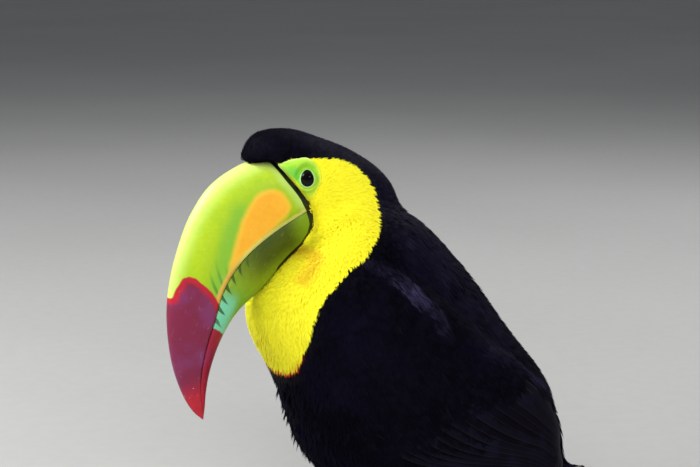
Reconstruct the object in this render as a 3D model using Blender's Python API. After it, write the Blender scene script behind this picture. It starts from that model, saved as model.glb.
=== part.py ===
"""A keel-billed toucan at rest, crouched on both feet with its long tail laid out behind.

Metres, +Z up. The bird faces -Y and its own left side is at +X. The head is turned a little
to that side and tipped down, so that the bill hangs in front of the breast. The floor is z = 0,
and the soles of the toes and the underside of the tail lie on it.
The outer surfaces are those of the closed plumage, out to the tips of the feathers.
"""

import math

import bmesh
import bpy
import numpy as np
from mathutils import Vector

CM = 0.01  # every size below is in centimetres
GAP = 0.03  # between two pieces that touch
OVERLAP = 0.6  # how far a piece runs into its neighbour before it is cut back

# Head, in its own axes: forward along the bill's base, up, and out to the bird's left.
HEAD_TURN = math.radians(24)
HEAD_DIP = math.radians(30)
CULMEN_BASE = (1.5, -4.5, 20.55)  # where the ridge of the bill meets the forehead

# (forward, top, bottom, half width, bow) of each section of the head, from the bill back to the
# nape; the bow is how far the section's top and bottom reach ahead of its sides
HEAD_SECTIONS = (
    (0.10, 1.00, -5.10, 1.98, 1.05),
    (-0.10, 1.70, -5.30, 2.45, 0.95),
    (-0.80, 2.02, -5.60, 2.75, 0.45),
    (-2.00, 1.15, -6.00, 2.95, 0.0),
    (-3.20, -0.20, -6.30, 3.00, 0.0),
    (-4.20, -1.45, -6.40, 2.80, 0.0),
    (-5.00, -2.90, -6.30, 2.20, 0.0),
    (-5.45, -4.00, -5.90, 1.10, 0.0),
)
RING_STEPS = 2  # rings to each section listed for the head, the bill and the tail
HEAD_SEGMENTS = 24
EYE_PLACE = (-0.62, -1.03)  # forward and up
EYE_RADIUS = 0.58
EYE_OUT = 2.20  # of the eyeball's centre from the midline

# (forward, up) of the bill's ridge, of its cutting edge and of its lower edge
CULMEN = (
    (-0.5, -0.25), (0.4, 0.45), (1.9, 1.0), (3.7, 1.05), (5.4, 0.35), (6.8, -0.65),
    (8.1, -1.85), (9.15, -3.15), (10.0, -4.7), (10.6, -6.3), (10.9, -7.9), (10.85, -9.0),
)
CUTTING_EDGE = (
    (-0.5, -2.75), (0.4, -2.62), (2.1, -2.55), (3.6, -2.68), (4.8, -2.98), (5.7, -3.4),
    (6.6, -4.05), (7.5, -5.0), (8.5, -5.95), (9.4, -7.0), (10.0, -8.0), (10.35, -8.95),
)
LOWER_EDGE = (
    (-0.5, -4.75), (0.2, -4.88), (1.2, -5.02), (2.2, -5.2), (3.4, -5.42), (4.6, -5.58),
    (5.7, -5.72), (6.7, -6.05), (7.9, -6.75), (9.0, -7.68), (9.75, -8.55), (10.2, -9.2),
)
BILL_TIP = (10.62, -9.72)
LOWER_TIP = (10.28, -9.28)
BILL_HALF_WIDTHS = (1.72, 1.80, 1.78, 1.68, 1.54, 1.38, 1.22, 1.05, 0.88, 0.70, 0.50, 0.30)
MOUTH_GAP = 0.03
UPPER_SEGMENTS = 12
LOWER_SEGMENTS = 10
LOWER_SHARE = 0.96  # of the lower half's width in the upper half's
RIDGE_NARROWING = 0.12  # how much a section of the upper half draws in towards its ridge
KEEL_NARROWING = 0.1
RIDGE_FULLNESS = 1.1  # powers that round the sections: under 1 is fuller, over 1 is sharper
KEEL_FULLNESS = 0.9
TIP_SIZE = 0.05  # half the height of the bill's last section
LOWER_TIP_SIZE = 0.04
TIP_HALF_WIDTH = 0.08

# (back y, back z, front y, front z, half width, sideways shift) of each section of the body
BODY_SECTIONS = (
    (1.2, 18.9, -2.4, 16.4, 3.1, 0.5),
    (3.6, 17.5, -4.5, 15.0, 4.1, 0.35),
    (5.5, 15.6, -5.9, 12.9, 4.65, 0.15),
    (7.1, 13.7, -5.8, 10.9, 5.05, 0.0),
    (8.5, 11.65, -4.7, 8.7, 5.3, 0.0),
    (9.75, 9.97, -3.9, 6.6, 5.35, 0.0),
    (10.98, 8.42, -3.0, 4.2, 5.15, 0.0),
    (11.73, 6.95, -1.4, 2.65, 4.6, 0.0),
    (12.05, 5.5, 3.8, 2.15, 3.9, 0.0),
    (12.25, 3.85, 8.0, 1.7, 3.3, 0.0),
    (12.9, 2.45, 11.2, 1.1, 2.85, 0.0),
    (14.6, 1.75, 13.4, 0.6, 2.5, 0.0),
    (16.0, 1.35, 15.6, 0.45, 1.9, 0.0),
)
NECK_END = 2.5  # sections above this count make the neck, those below it the trunk
NECK_CUT = 0.003  # of a section, from the cut to each piece
NECK_ROWS = 6
TRUNK_ROWS = 22
BODY_SEGMENTS = 30
BELLY_FULLNESS = 0.10  # how much wider a section is towards the belly

# Folded wing, in the trunk's own run: along it in sections, and round it in degrees from the side
WING_EDGES = (
    # (section, upper edge, lower edge, thickness)
    (1.75, 14, -6, 0.14),
    (2.05, 28, -24, 0.36),
    (2.90, 38, -32, 0.52),
    (4.40, 52, -33, 0.60),
    (6.00, 64, -24, 0.60),
    (7.50, 72, -8, 0.54),
    (8.80, 74, 12, 0.44),
    (9.55, 62, 36, 0.26),
)
WING_ROWS = 16
WING_COLUMNS = 9
WING_EDGE_THICKNESS = 0.14
WING_SWELL = 0.6  # power that rounds the wing from edge to edge

# (y, underside z, top z, half width) of each section of the closed tail
TAIL_SECTIONS = (
    (12.4, 1.5, 2.2, 1.7),
    (14.2, 0.7, 1.5, 2.15),
    (15.8, 0.12, 1.1, 2.4),
    (17.4, 0.0, 0.95, 2.55),
    (21.0, 0.0, 0.75, 2.8),
    (24.5, 0.0, 0.62, 2.9),
    (27.0, 0.0, 0.50, 2.5),
    (28.2, 0.0, 0.36, 1.5),
)
TAIL_SEGMENTS = 16
TAIL_EDGE = 0.3  # share of the tail's height that its side edges have
TAIL_UNDERSIDE = -0.5  # points of a section whose sine is under this lie on the underside

ANKLE = (2.9, 4.4, 3.1)
TOE_JOINT = (2.9, 0.9, 0.72)
TARSUS_RADIUS = 0.36
TARSUS_SEGMENTS = 10
# (share of the way from the ankle to the toes, share of the radius)
TARSUS_SHAPE = ((0.0, 1.1), (0.15, 1.05), (0.5, 0.9), (0.85, 1.0), (1.0, 1.15))
THIGH_SEGMENTS = 14
THIGH_TOP = (3.7, 0.6, 6.4)
# (share of the way to the ankle, radius) down the feathered thigh
THIGH_RADII = ((0.0, 0.8), (0.08, 1.45), (0.25, 1.75), (0.5, 1.5), (0.75, 1.1), (0.95, 0.8), (1.05, 0.5))
# name: (length, degrees out from straight ahead, radius at the root, place of the root out and back)
TOES = {
    "front_outer": (2.9, 10, 0.42, (0.44, -0.35)),
    "front_inner": (2.2, -12, 0.38, (-0.42, -0.35)),
    "back_outer": (2.7, 150, 0.40, (0.46, 0.50)),
    "back_inner": (1.6, 200, 0.34, (-0.40, 0.50)),
}
TOE_RINGS = 8
TOE_TAPER = 0.3
TOE_PADS = 3  # swellings along a toe
TOE_PAD_SWELL = 0.08
TOE_HEIGHT = 0.92  # of its width
TOE_SEGMENTS = 8
CLAW_LENGTH = 0.95
CLAW_RADIUS = 0.17
CLAW_RINGS = 6
CLAW_TAPER = 0.85
CLAW_BEND = 1.15  # radians from its root to its tip
CLAW_HEIGHT = 0.36  # of its midline over the floor, at the root
CLAW_CURVE = 0.62  # how far its midline would drop over a quarter turn
CLAW_DEPTH = 2.4  # height of a claw's section in half widths
CLAW_LIFT = 0.02


def material(name, colour, roughness):
    made = bpy.data.materials.new(name)
    made.use_nodes = True
    shader = made.node_tree.nodes["Principled BSDF"]
    shader.inputs["Base Color"].default_value = (*colour, 1)
    shader.inputs["Roughness"].default_value = roughness
    made.diffuse_color = (*colour, 1)
    return made


def mesh_object(name, points, faces, look):
    """A closed mesh from points in centimetres, its faces turned outwards."""
    mesh = bpy.data.meshes.new(name)
    mesh.from_pydata([tuple(CM * value for value in point) for point in points], [], faces)
    form = bmesh.new()
    form.from_mesh(mesh)
    bmesh.ops.recalc_face_normals(form, faces=form.faces)
    bmesh.ops.triangulate(form, faces=form.faces)
    form.to_mesh(mesh)
    form.free()
    mesh.materials.append(look)
    mesh.shade_smooth()
    mesh.set_sharp_from_angle(angle=math.radians(50))
    made = bpy.data.objects.new(name, mesh)
    bpy.context.scene.collection.objects.link(made)
    return made


def loft(name, rings, look):
    """A solid through closed rings of as many points each, with both ends filled."""
    count = len(rings[0])
    points = [point for ring in rings for point in ring]
    faces = []
    for row in range(len(rings) - 1):
        for column in range(count):
            following = (column + 1) % count
            near, far = row * count, (row + 1) * count
            faces.append((near + column, near + following, far + following, far + column))
    last = (len(rings) - 1) * count
    for start in (0, last):
        middle = len(points)
        points.append(tuple(np.mean(rings[0] if start == 0 else rings[-1], axis=0)))
        for column in range(count):
            faces.append((start + column, start + (column + 1) % count, middle))
    return mesh_object(name, points, faces, look)


def along(stations, place):
    """The values of smoothly joined stations at a place counted in stations."""
    table = np.array(stations, dtype=float)
    last = len(table) - 1
    place = min(max(place, 0.0), float(last))
    start = min(int(place), last - 1)
    share = place - start
    before, here, there, after = (table[min(max(start + step, 0), last)] for step in (-1, 0, 1, 2))
    out_slope = (there - before) / (2 if start > 0 else 1)
    in_slope = (after - here) / (2 if start < last - 1 else 1)
    return (
        (2 * share**3 - 3 * share**2 + 1) * here
        + (share**3 - 2 * share**2 + share) * out_slope
        + (3 * share**2 - 2 * share**3) * there
        + (share**3 - share**2) * in_slope
    )


def head_axes():
    level = np.array((math.sin(HEAD_TURN), -math.cos(HEAD_TURN), 0))
    out = np.array((math.cos(HEAD_TURN), math.sin(HEAD_TURN), 0))
    rise = np.array((0, 0, 1))
    forward = level * math.cos(HEAD_DIP) - rise * math.sin(HEAD_DIP)
    up = level * math.sin(HEAD_DIP) + rise * math.cos(HEAD_DIP)
    return forward, up, out


def head_point(forward, up, out):
    ahead, above, left = head_axes()
    return tuple(np.array(CULMEN_BASE) + forward * ahead + up * above + out * left)


def grown(piece, by=GAP):
    """A cutter: a copy of a piece, its surface moved out by the gap."""
    mesh = piece.data.copy()
    for vertex, normal in zip(mesh.vertices, [item.vector.copy() for item in mesh.vertex_normals]):
        vertex.co += normal * by * CM
    cutter = bpy.data.objects.new(piece.name + "_cutter", mesh)
    cutter.location = piece.location
    cutter.hide_render = True
    cutter.display_type = "WIRE"
    bpy.context.scene.collection.objects.link(cutter)
    return cutter


def cut(piece, *cutters):
    for cutter in cutters:
        boolean = piece.modifiers.new("cut by " + cutter.name, "BOOLEAN")
        boolean.operation = "DIFFERENCE"
        boolean.object = cutter


def head(look):
    """Crown, cheeks and throat: egg-shaped sections from the bill's base to the nape."""
    rings = []
    for step in range(RING_STEPS * (len(HEAD_SECTIONS) - 1) + 1):
        forward, top, bottom, half_width, bow = along(HEAD_SECTIONS, step / RING_STEPS)
        middle, half_height = (top + bottom) / 2, (top - bottom) / 2
        ring = []
        for corner in range(HEAD_SEGMENTS):
            turn = 2 * math.pi * corner / HEAD_SEGMENTS
            lift = math.sin(turn)
            ahead = forward + bow * lift**2
            ring.append(head_point(ahead, middle + half_height * lift, half_width * math.cos(turn)))
        rings.append(ring)
    return loft("head", rings, look)


def bill(look_upper, look_lower):
    """Both halves of the bill, closed along the cutting edge."""
    upper_rings, lower_rings = [], []
    for step in range(RING_STEPS * (len(CULMEN) - 1) + 1):
        place = step / RING_STEPS
        ridge, edge, keel = (along(line, place) for line in (CULMEN, CUTTING_EDGE, LOWER_EDGE))
        half_width = along([(width,) for width in BILL_HALF_WIDTHS], place)[0]
        upper_rings.append(upper_section(ridge, edge, half_width))
        lower_rings.append(lower_section(edge, keel, half_width))
    tip, lower_tip = np.array(BILL_TIP), np.array(LOWER_TIP)
    upper_end = small_section(UPPER_SEGMENTS)
    lower_end = small_section(LOWER_SEGMENTS)
    upper_rings.append([head_point(*(tip + TIP_SIZE * offset), out) for offset, out in upper_end])
    lower_rings.append([head_point(*(lower_tip - LOWER_TIP_SIZE * offset), out) for offset, out in lower_end])
    return loft("bill_upper", upper_rings, look_upper), loft("bill_lower", lower_rings, look_lower)


def small_section(count):
    """The nearly pointed end of a bill half, as offsets and distances from the midline."""
    for corner in range(count):
        turn = 2 * math.pi * corner / count
        yield np.array((math.sin(turn), math.sin(turn))), TIP_HALF_WIDTH * math.cos(turn)


def upper_section(ridge, edge, half_width):
    """Flat below along the cutting edges, arched over the ridge."""
    rise = ridge - edge
    ring = []
    for corner in range(UPPER_SEGMENTS):
        turn = 2 * math.pi * corner / UPPER_SEGMENTS
        lift = max(math.sin(turn), 0.0) ** RIDGE_FULLNESS
        width = half_width * math.cos(turn) * (1 - RIDGE_NARROWING * lift)
        place = edge + rise * lift
        ring.append(head_point(*place, width))
    return ring


def lower_section(edge, keel, half_width):
    """Flat above along the cutting edges, rounded below."""
    drop = keel - edge
    clear = drop / max(np.linalg.norm(drop), 1e-6) * MOUTH_GAP
    ring = []
    for corner in range(LOWER_SEGMENTS):
        turn = 2 * math.pi * corner / LOWER_SEGMENTS
        lift = max(math.sin(turn), 0.0) ** KEEL_FULLNESS
        width = LOWER_SHARE * half_width * math.cos(turn) * (1 - KEEL_NARROWING * lift)
        place = edge + clear + (drop - clear) * lift
        ring.append(head_point(*place, width))
    return ring


def eye(side, look):
    bpy.ops.mesh.primitive_uv_sphere_add(segments=14, ring_count=8, radius=EYE_RADIUS * CM)
    made = bpy.context.object
    made.name = "eye_left" if side > 0 else "eye_right"
    made.data.materials.append(look)
    made.data.transform(made.matrix_world)
    made.location = [CM * value for value in head_point(*EYE_PLACE, side * EYE_OUT)]
    made.data.shade_smooth()
    return made


def body_point(place, degrees, outwards=0.0):
    """A point of the body at a section and an angle: 0 is its left side, 90 its back."""
    back_y, back_z, front_y, front_z, half_width, shift = along(BODY_SECTIONS, place)
    turn = math.radians(degrees)
    lift = math.sin(turn)
    middle = np.array(((back_y + front_y) / 2, (back_z + front_z) / 2))
    rise = np.array((back_y - front_y, back_z - front_z)) / 2
    height = np.linalg.norm(rise)
    width = half_width * (1 - BELLY_FULLNESS * lift)
    y, z = middle + rise * lift * (1 + outwards / height)
    return shift + (width + outwards) * math.cos(turn), y, z


def body_piece(name, start, end, rows, look):
    rings = []
    for row in range(rows + 1):
        place = start + (end - start) * row / rows
        rings.append([body_point(place, 360 * corner / BODY_SEGMENTS) for corner in range(BODY_SEGMENTS)])
    return loft(name, rings, look)


def wing(side, neck_cutter, trunk_cutter, look):
    """A folded wing: a shield that follows the trunk from the bend of the wing to its tips."""
    outer, inner = [], []
    for row in range(WING_ROWS + 1):
        place, upper, lower, thickness = along(WING_EDGES, (len(WING_EDGES) - 1) * row / WING_ROWS)
        outer_row, inner_row = [], []
        for column in range(WING_COLUMNS + 1):
            across = column / WING_COLUMNS
            degrees = lower + (upper - lower) * across
            swell = math.sin(math.pi * across) ** WING_SWELL
            height = WING_EDGE_THICKNESS + (thickness - WING_EDGE_THICKNESS) * swell
            degrees = degrees if side > 0 else 180 - degrees
            outer_row.append(body_point(place, degrees, height))
            inner_row.append(body_point(place, degrees, -OVERLAP))
        outer.append(outer_row)
        inner.append(inner_row)
    rings = [front + back[::-1] for front, back in zip(outer, inner)]
    made = loft("wing_left" if side > 0 else "wing_right", rings, look)
    cut(made, neck_cutter, trunk_cutter)
    return made


def tail(look):
    rings = []
    for step in range(RING_STEPS * (len(TAIL_SECTIONS) - 1) + 1):
        y, low, high, half_width = along(TAIL_SECTIONS, step / RING_STEPS)
        low = max(low, 0.0)
        ring = []
        for corner in range(TAIL_SEGMENTS):
            turn = 2 * math.pi * corner / TAIL_SEGMENTS
            edge = TAIL_EDGE * (math.sin(turn) > TAIL_UNDERSIDE)
            arch = (1 - TAIL_EDGE) * max(math.sin(turn), 0.0)
            ring.append((half_width * math.cos(turn), y, low + (high - low) * (edge + arch)))
        rings.append(ring)
    return loft("tail", rings, look)


def tube(name, route, radii, corners, look):
    """A round bar along a route of points, each with its own radius."""
    route = [np.array(point, dtype=float) for point in route]
    rings = []
    for step, (point, radius) in enumerate(zip(route, radii)):
        ahead = route[min(step + 1, len(route) - 1)] - route[max(step - 1, 0)]
        ahead /= np.linalg.norm(ahead)
        side = np.cross(ahead, (0, 0, 1))
        side /= np.linalg.norm(side)
        up = np.cross(side, ahead)
        ring = []
        for corner in range(corners):
            turn = 2 * math.pi * (corner + 0.5) / corners
            ring.append(tuple(point + radius * (math.cos(turn) * side + math.sin(turn) * up)))
        rings.append(ring)
    return loft(name, rings, look)


def mirrored(point, side):
    return np.array((side * point[0], point[1], point[2]))


def leg(side, trunk, wing_cutter, trunk_cutter, plumage, skin, horn):
    """Feathered thigh, bare tarsus, and four toes with their claws: two ahead and two behind."""
    word = "left" if side > 0 else "right"
    ankle, joint, top = (mirrored(point, side) for point in (ANKLE, TOE_JOINT, THIGH_TOP))
    route = [top + (ankle - top) * share for share, _ in THIGH_RADII]
    thigh = tube("thigh_" + word, route, [radius for _, radius in THIGH_RADII], THIGH_SEGMENTS, plumage)
    shank = [ankle + (joint - ankle) * share for share, _ in TARSUS_SHAPE]
    radii = [TARSUS_RADIUS * grow for _, grow in TARSUS_SHAPE]
    tarsus = tube("tarsus_" + word, shank, radii, TARSUS_SEGMENTS, skin)
    cut(thigh, wing_cutter, trunk_cutter, grown(tarsus))
    cut(trunk, grown(tarsus))
    for name, size in TOES.items():
        toe(word + "_" + name, side, tarsus, size, skin, horn)


def toe(name, side, tarsus, size, skin, horn):
    length, degrees, radius, (out, back) = size
    turn = math.radians(degrees)
    ahead = np.array((side * math.sin(turn), -math.cos(turn), 0))
    root = np.array((side * (TOE_JOINT[0] + out), TOE_JOINT[1] + back, 0))
    rings = []
    for step in range(TOE_RINGS):
        share = step / (TOE_RINGS - 1)
        pad = 1 + TOE_PAD_SWELL * math.cos(2 * math.pi * TOE_PADS * share)
        wide = radius * (1 - TOE_TAPER * share) * pad
        rings.append(flat_section(root + ahead * length * share, ahead, wide, 2 * wide * TOE_HEIGHT))
    cut(loft("toe_" + name, rings, skin), grown(tarsus))
    claw_rings = []
    for step in range(CLAW_RINGS):
        share = step / (CLAW_RINGS - 1)
        bend = CLAW_BEND * share
        reach = length + GAP + CLAW_LENGTH * math.sin(bend) / CLAW_BEND
        height = CLAW_HEIGHT - CLAW_CURVE * (1 - math.cos(bend))
        wide = CLAW_RADIUS * (1 - CLAW_TAPER * share)
        lift = max(height - CLAW_DEPTH * wide / 2, CLAW_LIFT)
        claw_rings.append(flat_section(root + ahead * reach, ahead, wide, CLAW_DEPTH * wide, lift))
    loft("claw_" + name, claw_rings, horn)


def flat_section(place, ahead, half_width, height, lift=0.0):
    """A section across a toe: a flat sole with a rounded back."""
    side = np.array((-ahead[1], ahead[0], 0))
    ring = []
    for corner in range(TOE_SEGMENTS):
        turn = 2 * math.pi * (corner + 0.5) / TOE_SEGMENTS
        up = (math.sin(turn) / math.cos(math.pi / TOE_SEGMENTS) + 1) / 2
        ring.append(tuple(place + side * half_width * math.cos(turn) + np.array((0, 0, lift + height * up))))
    return ring


def centre_on_floor():
    """Moves everything so that the origin is under the middle of the bird's box."""
    bpy.context.view_layer.update()
    graph = bpy.context.evaluated_depsgraph_get()
    corners = []
    for item in bpy.data.objects:
        if not item.hide_render:
            shape = item.evaluated_get(graph)
            corners += [shape.matrix_world @ Vector(corner) for corner in shape.bound_box]
    middle = [(min(line) + max(line)) / 2 for line in zip(*corners)]
    for item in bpy.data.objects:
        item.location.x -= middle[0]
        item.location.y -= middle[1]


def main():
    for item in list(bpy.data.objects):
        bpy.data.objects.remove(item)
    plumage = material("black plumage", (0.012, 0.010, 0.018), 0.55)
    bib = material("yellow bib", (0.85, 0.70, 0.05), 0.7)
    green_horn = material("green horn", (0.35, 0.58, 0.04), 0.3)
    dark_green_horn = material("olive horn", (0.16, 0.32, 0.04), 0.3)
    eyeball = material("eyeball", (0.01, 0.008, 0.006), 0.08)
    blue_skin = material("blue-grey skin", (0.16, 0.24, 0.33), 0.6)
    claw_horn = material("dark horn", (0.05, 0.05, 0.06), 0.4)

    upper, lower = bill(green_horn, dark_green_horn)
    skull = head(bib)
    for side in (1, -1):
        ball = eye(side, eyeball)
        cut(skull, grown(ball))
    cut(skull, grown(upper), grown(lower))
    neck = body_piece("neck", 0.0, NECK_END - NECK_CUT, NECK_ROWS, plumage)
    neck_cutter = grown(neck)
    cut(neck, grown(skull), grown(lower), grown(upper))
    trunk = body_piece("trunk", NECK_END + NECK_CUT, len(BODY_SECTIONS) - 1, TRUNK_ROWS, plumage)
    trunk_cutter = grown(trunk)
    cut(trunk, grown(upper), grown(lower))
    train = tail(plumage)
    cut(train, trunk_cutter)
    for side in (1, -1):
        folded = wing(side, neck_cutter, trunk_cutter, plumage)
        leg(side, trunk, grown(folded), trunk_cutter, plumage, blue_skin, claw_horn)
    centre_on_floor()


main()
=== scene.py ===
import math
import bpy
import numpy as np
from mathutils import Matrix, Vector
from mathutils.bvhtree import BVHTree
from mathutils.kdtree import KDTree


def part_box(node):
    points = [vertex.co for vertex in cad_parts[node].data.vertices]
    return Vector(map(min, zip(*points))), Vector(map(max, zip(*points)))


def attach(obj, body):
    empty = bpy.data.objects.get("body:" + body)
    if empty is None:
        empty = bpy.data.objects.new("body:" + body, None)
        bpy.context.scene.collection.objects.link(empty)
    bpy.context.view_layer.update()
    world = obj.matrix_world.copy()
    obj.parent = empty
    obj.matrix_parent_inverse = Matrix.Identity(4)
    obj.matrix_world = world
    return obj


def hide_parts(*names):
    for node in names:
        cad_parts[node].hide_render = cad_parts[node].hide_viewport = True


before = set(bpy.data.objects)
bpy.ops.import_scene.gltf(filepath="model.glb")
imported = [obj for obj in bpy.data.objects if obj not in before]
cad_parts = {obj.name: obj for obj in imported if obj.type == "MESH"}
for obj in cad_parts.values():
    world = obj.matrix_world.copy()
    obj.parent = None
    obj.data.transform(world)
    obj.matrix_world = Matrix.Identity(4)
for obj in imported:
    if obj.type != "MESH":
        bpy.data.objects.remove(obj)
bpy.ops.object.select_all(action="DESELECT")
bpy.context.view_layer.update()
cm = 0.01
chance = np.random.default_rng(12)
print("frame loaded:", len(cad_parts), "solids")


def boxMiddle(node):
    low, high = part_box(node)
    return np.array((low + high) / 2)


def readFrom(parts, key, width=3, kind=float):
    flat = np.zeros(width * len(parts), kind)
    parts.foreach_get(key, flat)
    return flat.reshape(-1, width)


def pointsOf(obj):
    return readFrom(obj.data.vertices, "co")


def normalsOf(obj):
    return readFrom(obj.data.vertex_normals, "vector")


def setPoints(obj, points):
    obj.data.vertices.foreach_set("co", np.asarray(points, np.float32).ravel())
    obj.data.update()


def sizes(vectors):
    return np.linalg.norm(vectors, axis=-1)


def unit(vectors):
    return vectors / np.maximum(sizes(vectors), 1e-12)[..., None]


def makeActive(obj):
    bpy.ops.object.select_all(action="DESELECT")
    obj.select_set(True)
    bpy.context.view_layer.objects.active = obj


def inEdit(obj, *steps):
    # runs edit-mode operators on all of the object
    makeActive(obj)
    bpy.ops.object.mode_set(mode="EDIT")
    bpy.ops.mesh.select_all(action="SELECT")
    for step in steps:
        step()
    bpy.ops.object.mode_set(mode="OBJECT")


def applied(obj, kind, **settings):
    makeActive(obj)
    modifier = obj.modifiers.new(kind.lower(), kind)
    for name, value in settings.items():
        setattr(modifier, name, value)
    bpy.ops.object.modifier_apply(modifier=modifier.name)


def justMade(name):
    # the object that an operator has just added, named
    made = bpy.context.object
    made.name = made.data.name = name
    return made


def joined(name, parts):
    makeActive(parts[0])
    for part in parts:
        part.select_set(True)
    if len(parts) > 1:
        bpy.ops.object.join()
    return justMade(name)


def joinedCopy(name, nodes, swell=0.0):
    # copies of the frame's solids as one mesh, each merged first and swollen a little
    copies = []
    for node in nodes:
        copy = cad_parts[node].copy()
        copy.data = copy.data.copy()
        copy.parent = None
        for key in list(copy.keys()):
            del copy[key]
        bpy.context.scene.collection.objects.link(copy)
        copy.data.materials.clear()
        inEdit(copy, lambda: bpy.ops.mesh.remove_doubles(threshold=0.00002))
        setPoints(copy, pointsOf(copy) + swell * normalsOf(copy))
        copies.append(copy)
    return joined(name, copies)


def paint(obj, **values):
    # named values on a mesh's points, each one number or one for every point
    for name, value in values.items():
        made = obj.data.attributes.get(name) or obj.data.attributes.new(name, "FLOAT", "POINT")
        made.data.foreach_set("value", np.full(len(obj.data.vertices), value, np.float32))


pieces = []


def finished(obj, look, slot, *nodes):
    # smooth shading, a material, and the solids that the piece stands for, which are hidden; the slot is
    # not used
    makeActive(obj)
    bpy.ops.object.shade_smooth()
    obj.data.materials.append(look)
    if nodes:
        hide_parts(*nodes)
    pieces.append(obj)
    return obj


def aboveFloor(obj):
    points = pointsOf(obj)
    points[:, 2] = np.maximum(points[:, 2], 0)
    setPoints(obj, points)


def arrayMesh(name, points, triangles, values, patches):
    # many small shapes as one mesh, with named values on its points
    mesh = bpy.data.meshes.new(name)
    points, triangles = np.asarray(points, np.float32).reshape(-1, 3), np.asarray(triangles, np.int32)
    mesh.vertices.add(len(points))
    mesh.vertices.foreach_set("co", points.ravel())
    mesh.loops.add(3 * len(triangles))
    mesh.loops.foreach_set("vertex_index", triangles.ravel())
    mesh.polygons.add(len(triangles))
    mesh.polygons.foreach_set("loop_start", np.arange(0, 3 * len(triangles), 3, dtype=np.int32))
    mesh.update(calc_edges=True)
    mesh.polygons.foreach_set("use_smooth", np.ones(len(triangles), bool))
    made = bpy.data.objects.new(name, mesh)
    bpy.context.scene.collection.objects.link(made)
    paint(made, **values)
    layer = mesh.uv_layers.new(name="OFBake")
    layer.data.foreach_set("uv", np.asarray(patches, np.float32)[triangles.ravel()].ravel())
    return made


def smoothLine(stations, places):
    # values of smoothly joined stations at places counted in stations
    table = np.array(stations, float)
    last = len(table) - 1
    places = np.clip(np.asarray(places, float), 0, last)
    start = np.minimum(places.astype(int), last - 1)
    share = (places - start)[:, None]
    before, here, there, after = (table[np.clip(start + step, 0, last)] for step in (-1, 0, 1, 2))
    outSlope = (there - before) / np.where(start > 0, 2, 1)[:, None]
    inSlope = (after - here) / np.where(start < last - 1, 2, 1)[:, None]
    return ((2 * share**3 - 3 * share**2 + 1) * here + (share**3 - 2 * share**2 + share) * outSlope
            + (3 * share**2 - 2 * share**3) * there + (share**3 - share**2) * inSlope)


def ease(values, low, high):
    # smooth step from low to high, which may run downwards
    share = np.clip((np.asarray(values, float) - low) / (high - low), 0, 1)
    return share * share * (3 - 2 * share)


def edgeDistance(points, outline, closed=True):
    # distance of flat points from an outline, above zero inside a closed one
    corners = np.array(outline, float)
    ends = np.roll(corners, -1, axis=0) if closed else corners[1:]
    starts = corners if closed else corners[:-1]
    nearest = np.full(len(points), 1e9)
    inside = np.zeros(len(points), bool)
    for start, end in zip(starts, ends):
        way = end - start
        share = np.clip(((points - start) @ way) / max(way @ way, 1e-12), 0, 1)
        nearest = np.minimum(nearest, sizes(points - start - share[:, None] * way))
        crosses = (start[1] > points[:, 1]) != (end[1] > points[:, 1])
        rise = end[1] - start[1] if abs(end[1] - start[1]) > 1e-12 else 1e-12
        inside ^= crosses & (points[:, 0] < start[0] + way[0] * (points[:, 1] - start[1]) / rise)
    return np.where(inside, nearest, -nearest) if closed else nearest


# the bird's own axes: centimetres ahead, above and to the left of the culmen's base

head = {"dip": 30, "eyeAhead": -0.62, "eyeAbove": -1.03}
leftWay = unit(boxMiddle("eye_left") - boxMiddle("eye_right"))
levelWay = np.cross(leftWay, (0, 0, 1))
dip = math.radians(head["dip"])
aheadWay = levelWay * math.cos(dip) - np.array((0, 0, math.sin(dip)))
aboveWay = levelWay * math.sin(dip) + np.array((0, 0, math.cos(dip)))
headAxes = np.stack((aheadWay, aboveWay, leftWay))
headOrigin = ((boxMiddle("eye_left") + boxMiddle("eye_right")) / 2
              - cm * (head["eyeAhead"] * aheadWay + head["eyeAbove"] * aboveWay))


def toHead(points):
    return (np.asarray(points) - headOrigin) @ headAxes.T / cm


def fromHead(places):
    return headOrigin + cm * (np.asarray(places) @ headAxes)


# material nodes, each put into the tree begun last

nodeTree = None


def feed(socket, value):
    # a socket takes another node's output, a colour or a number
    if isinstance(value, bpy.types.NodeSocket):
        nodeTree.links.new(value, socket)
    else:
        socket.default_value = (*value, 1) if socket.type == "RGBA" else value


def put(kind, inputs=None, **settings):
    made = nodeTree.nodes.new(kind)
    for name, value in settings.items():
        setattr(made, name, value)
    for name, value in (inputs or {}).items():
        feed(made.inputs[name], value)
    return made


def newMaterial(name, **finish):
    global nodeTree
    material = bpy.data.materials.new(name)
    material.use_nodes = True
    nodeTree = material.node_tree
    shader = nodeTree.nodes["Principled BSDF"]
    for socket, value in finish.items():
        shader.inputs[socket.replace("_", " ")].default_value = value
    return material, shader


def newGroup(name, outputs, **numbers):
    # a group that takes a place and numbers, and gives the outputs named with their kinds
    global nodeTree
    nodeTree = bpy.data.node_groups.new(name, "ShaderNodeTree")
    sockets = nodeTree.interface
    sockets.new_socket("Vector", in_out="INPUT", socket_type="NodeSocketVector")
    for title, value in numbers.items():
        sockets.new_socket(title, in_out="INPUT", socket_type="NodeSocketFloat").default_value = value
    for title, kind in outputs.items():
        sockets.new_socket(title, in_out="OUTPUT", socket_type="NodeSocket" + kind)
    return nodeTree, put("NodeGroupInput").outputs, put("NodeGroupOutput").inputs


def useGroup(group, place, **inputs):
    return put("ShaderNodeGroup", {"Vector": place, **inputs}, node_tree=group).outputs


def attribute(name):
    return put("ShaderNodeAttribute", attribute_name=name).outputs["Fac"]


def maths(operation, *values):
    return put("ShaderNodeMath", dict(enumerate(values)), operation=operation).outputs[0]


def plus(first, second):
    return maths("ADD", first, second)


def minus(first, second):
    return maths("SUBTRACT", first, second)


def times(first, *others):
    for other in others:
        first = maths("MULTIPLY", first, other)
    return first


def sine(value):
    return maths("SINE", value)


def absolute(value):
    return maths("ABSOLUTE", value)


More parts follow.
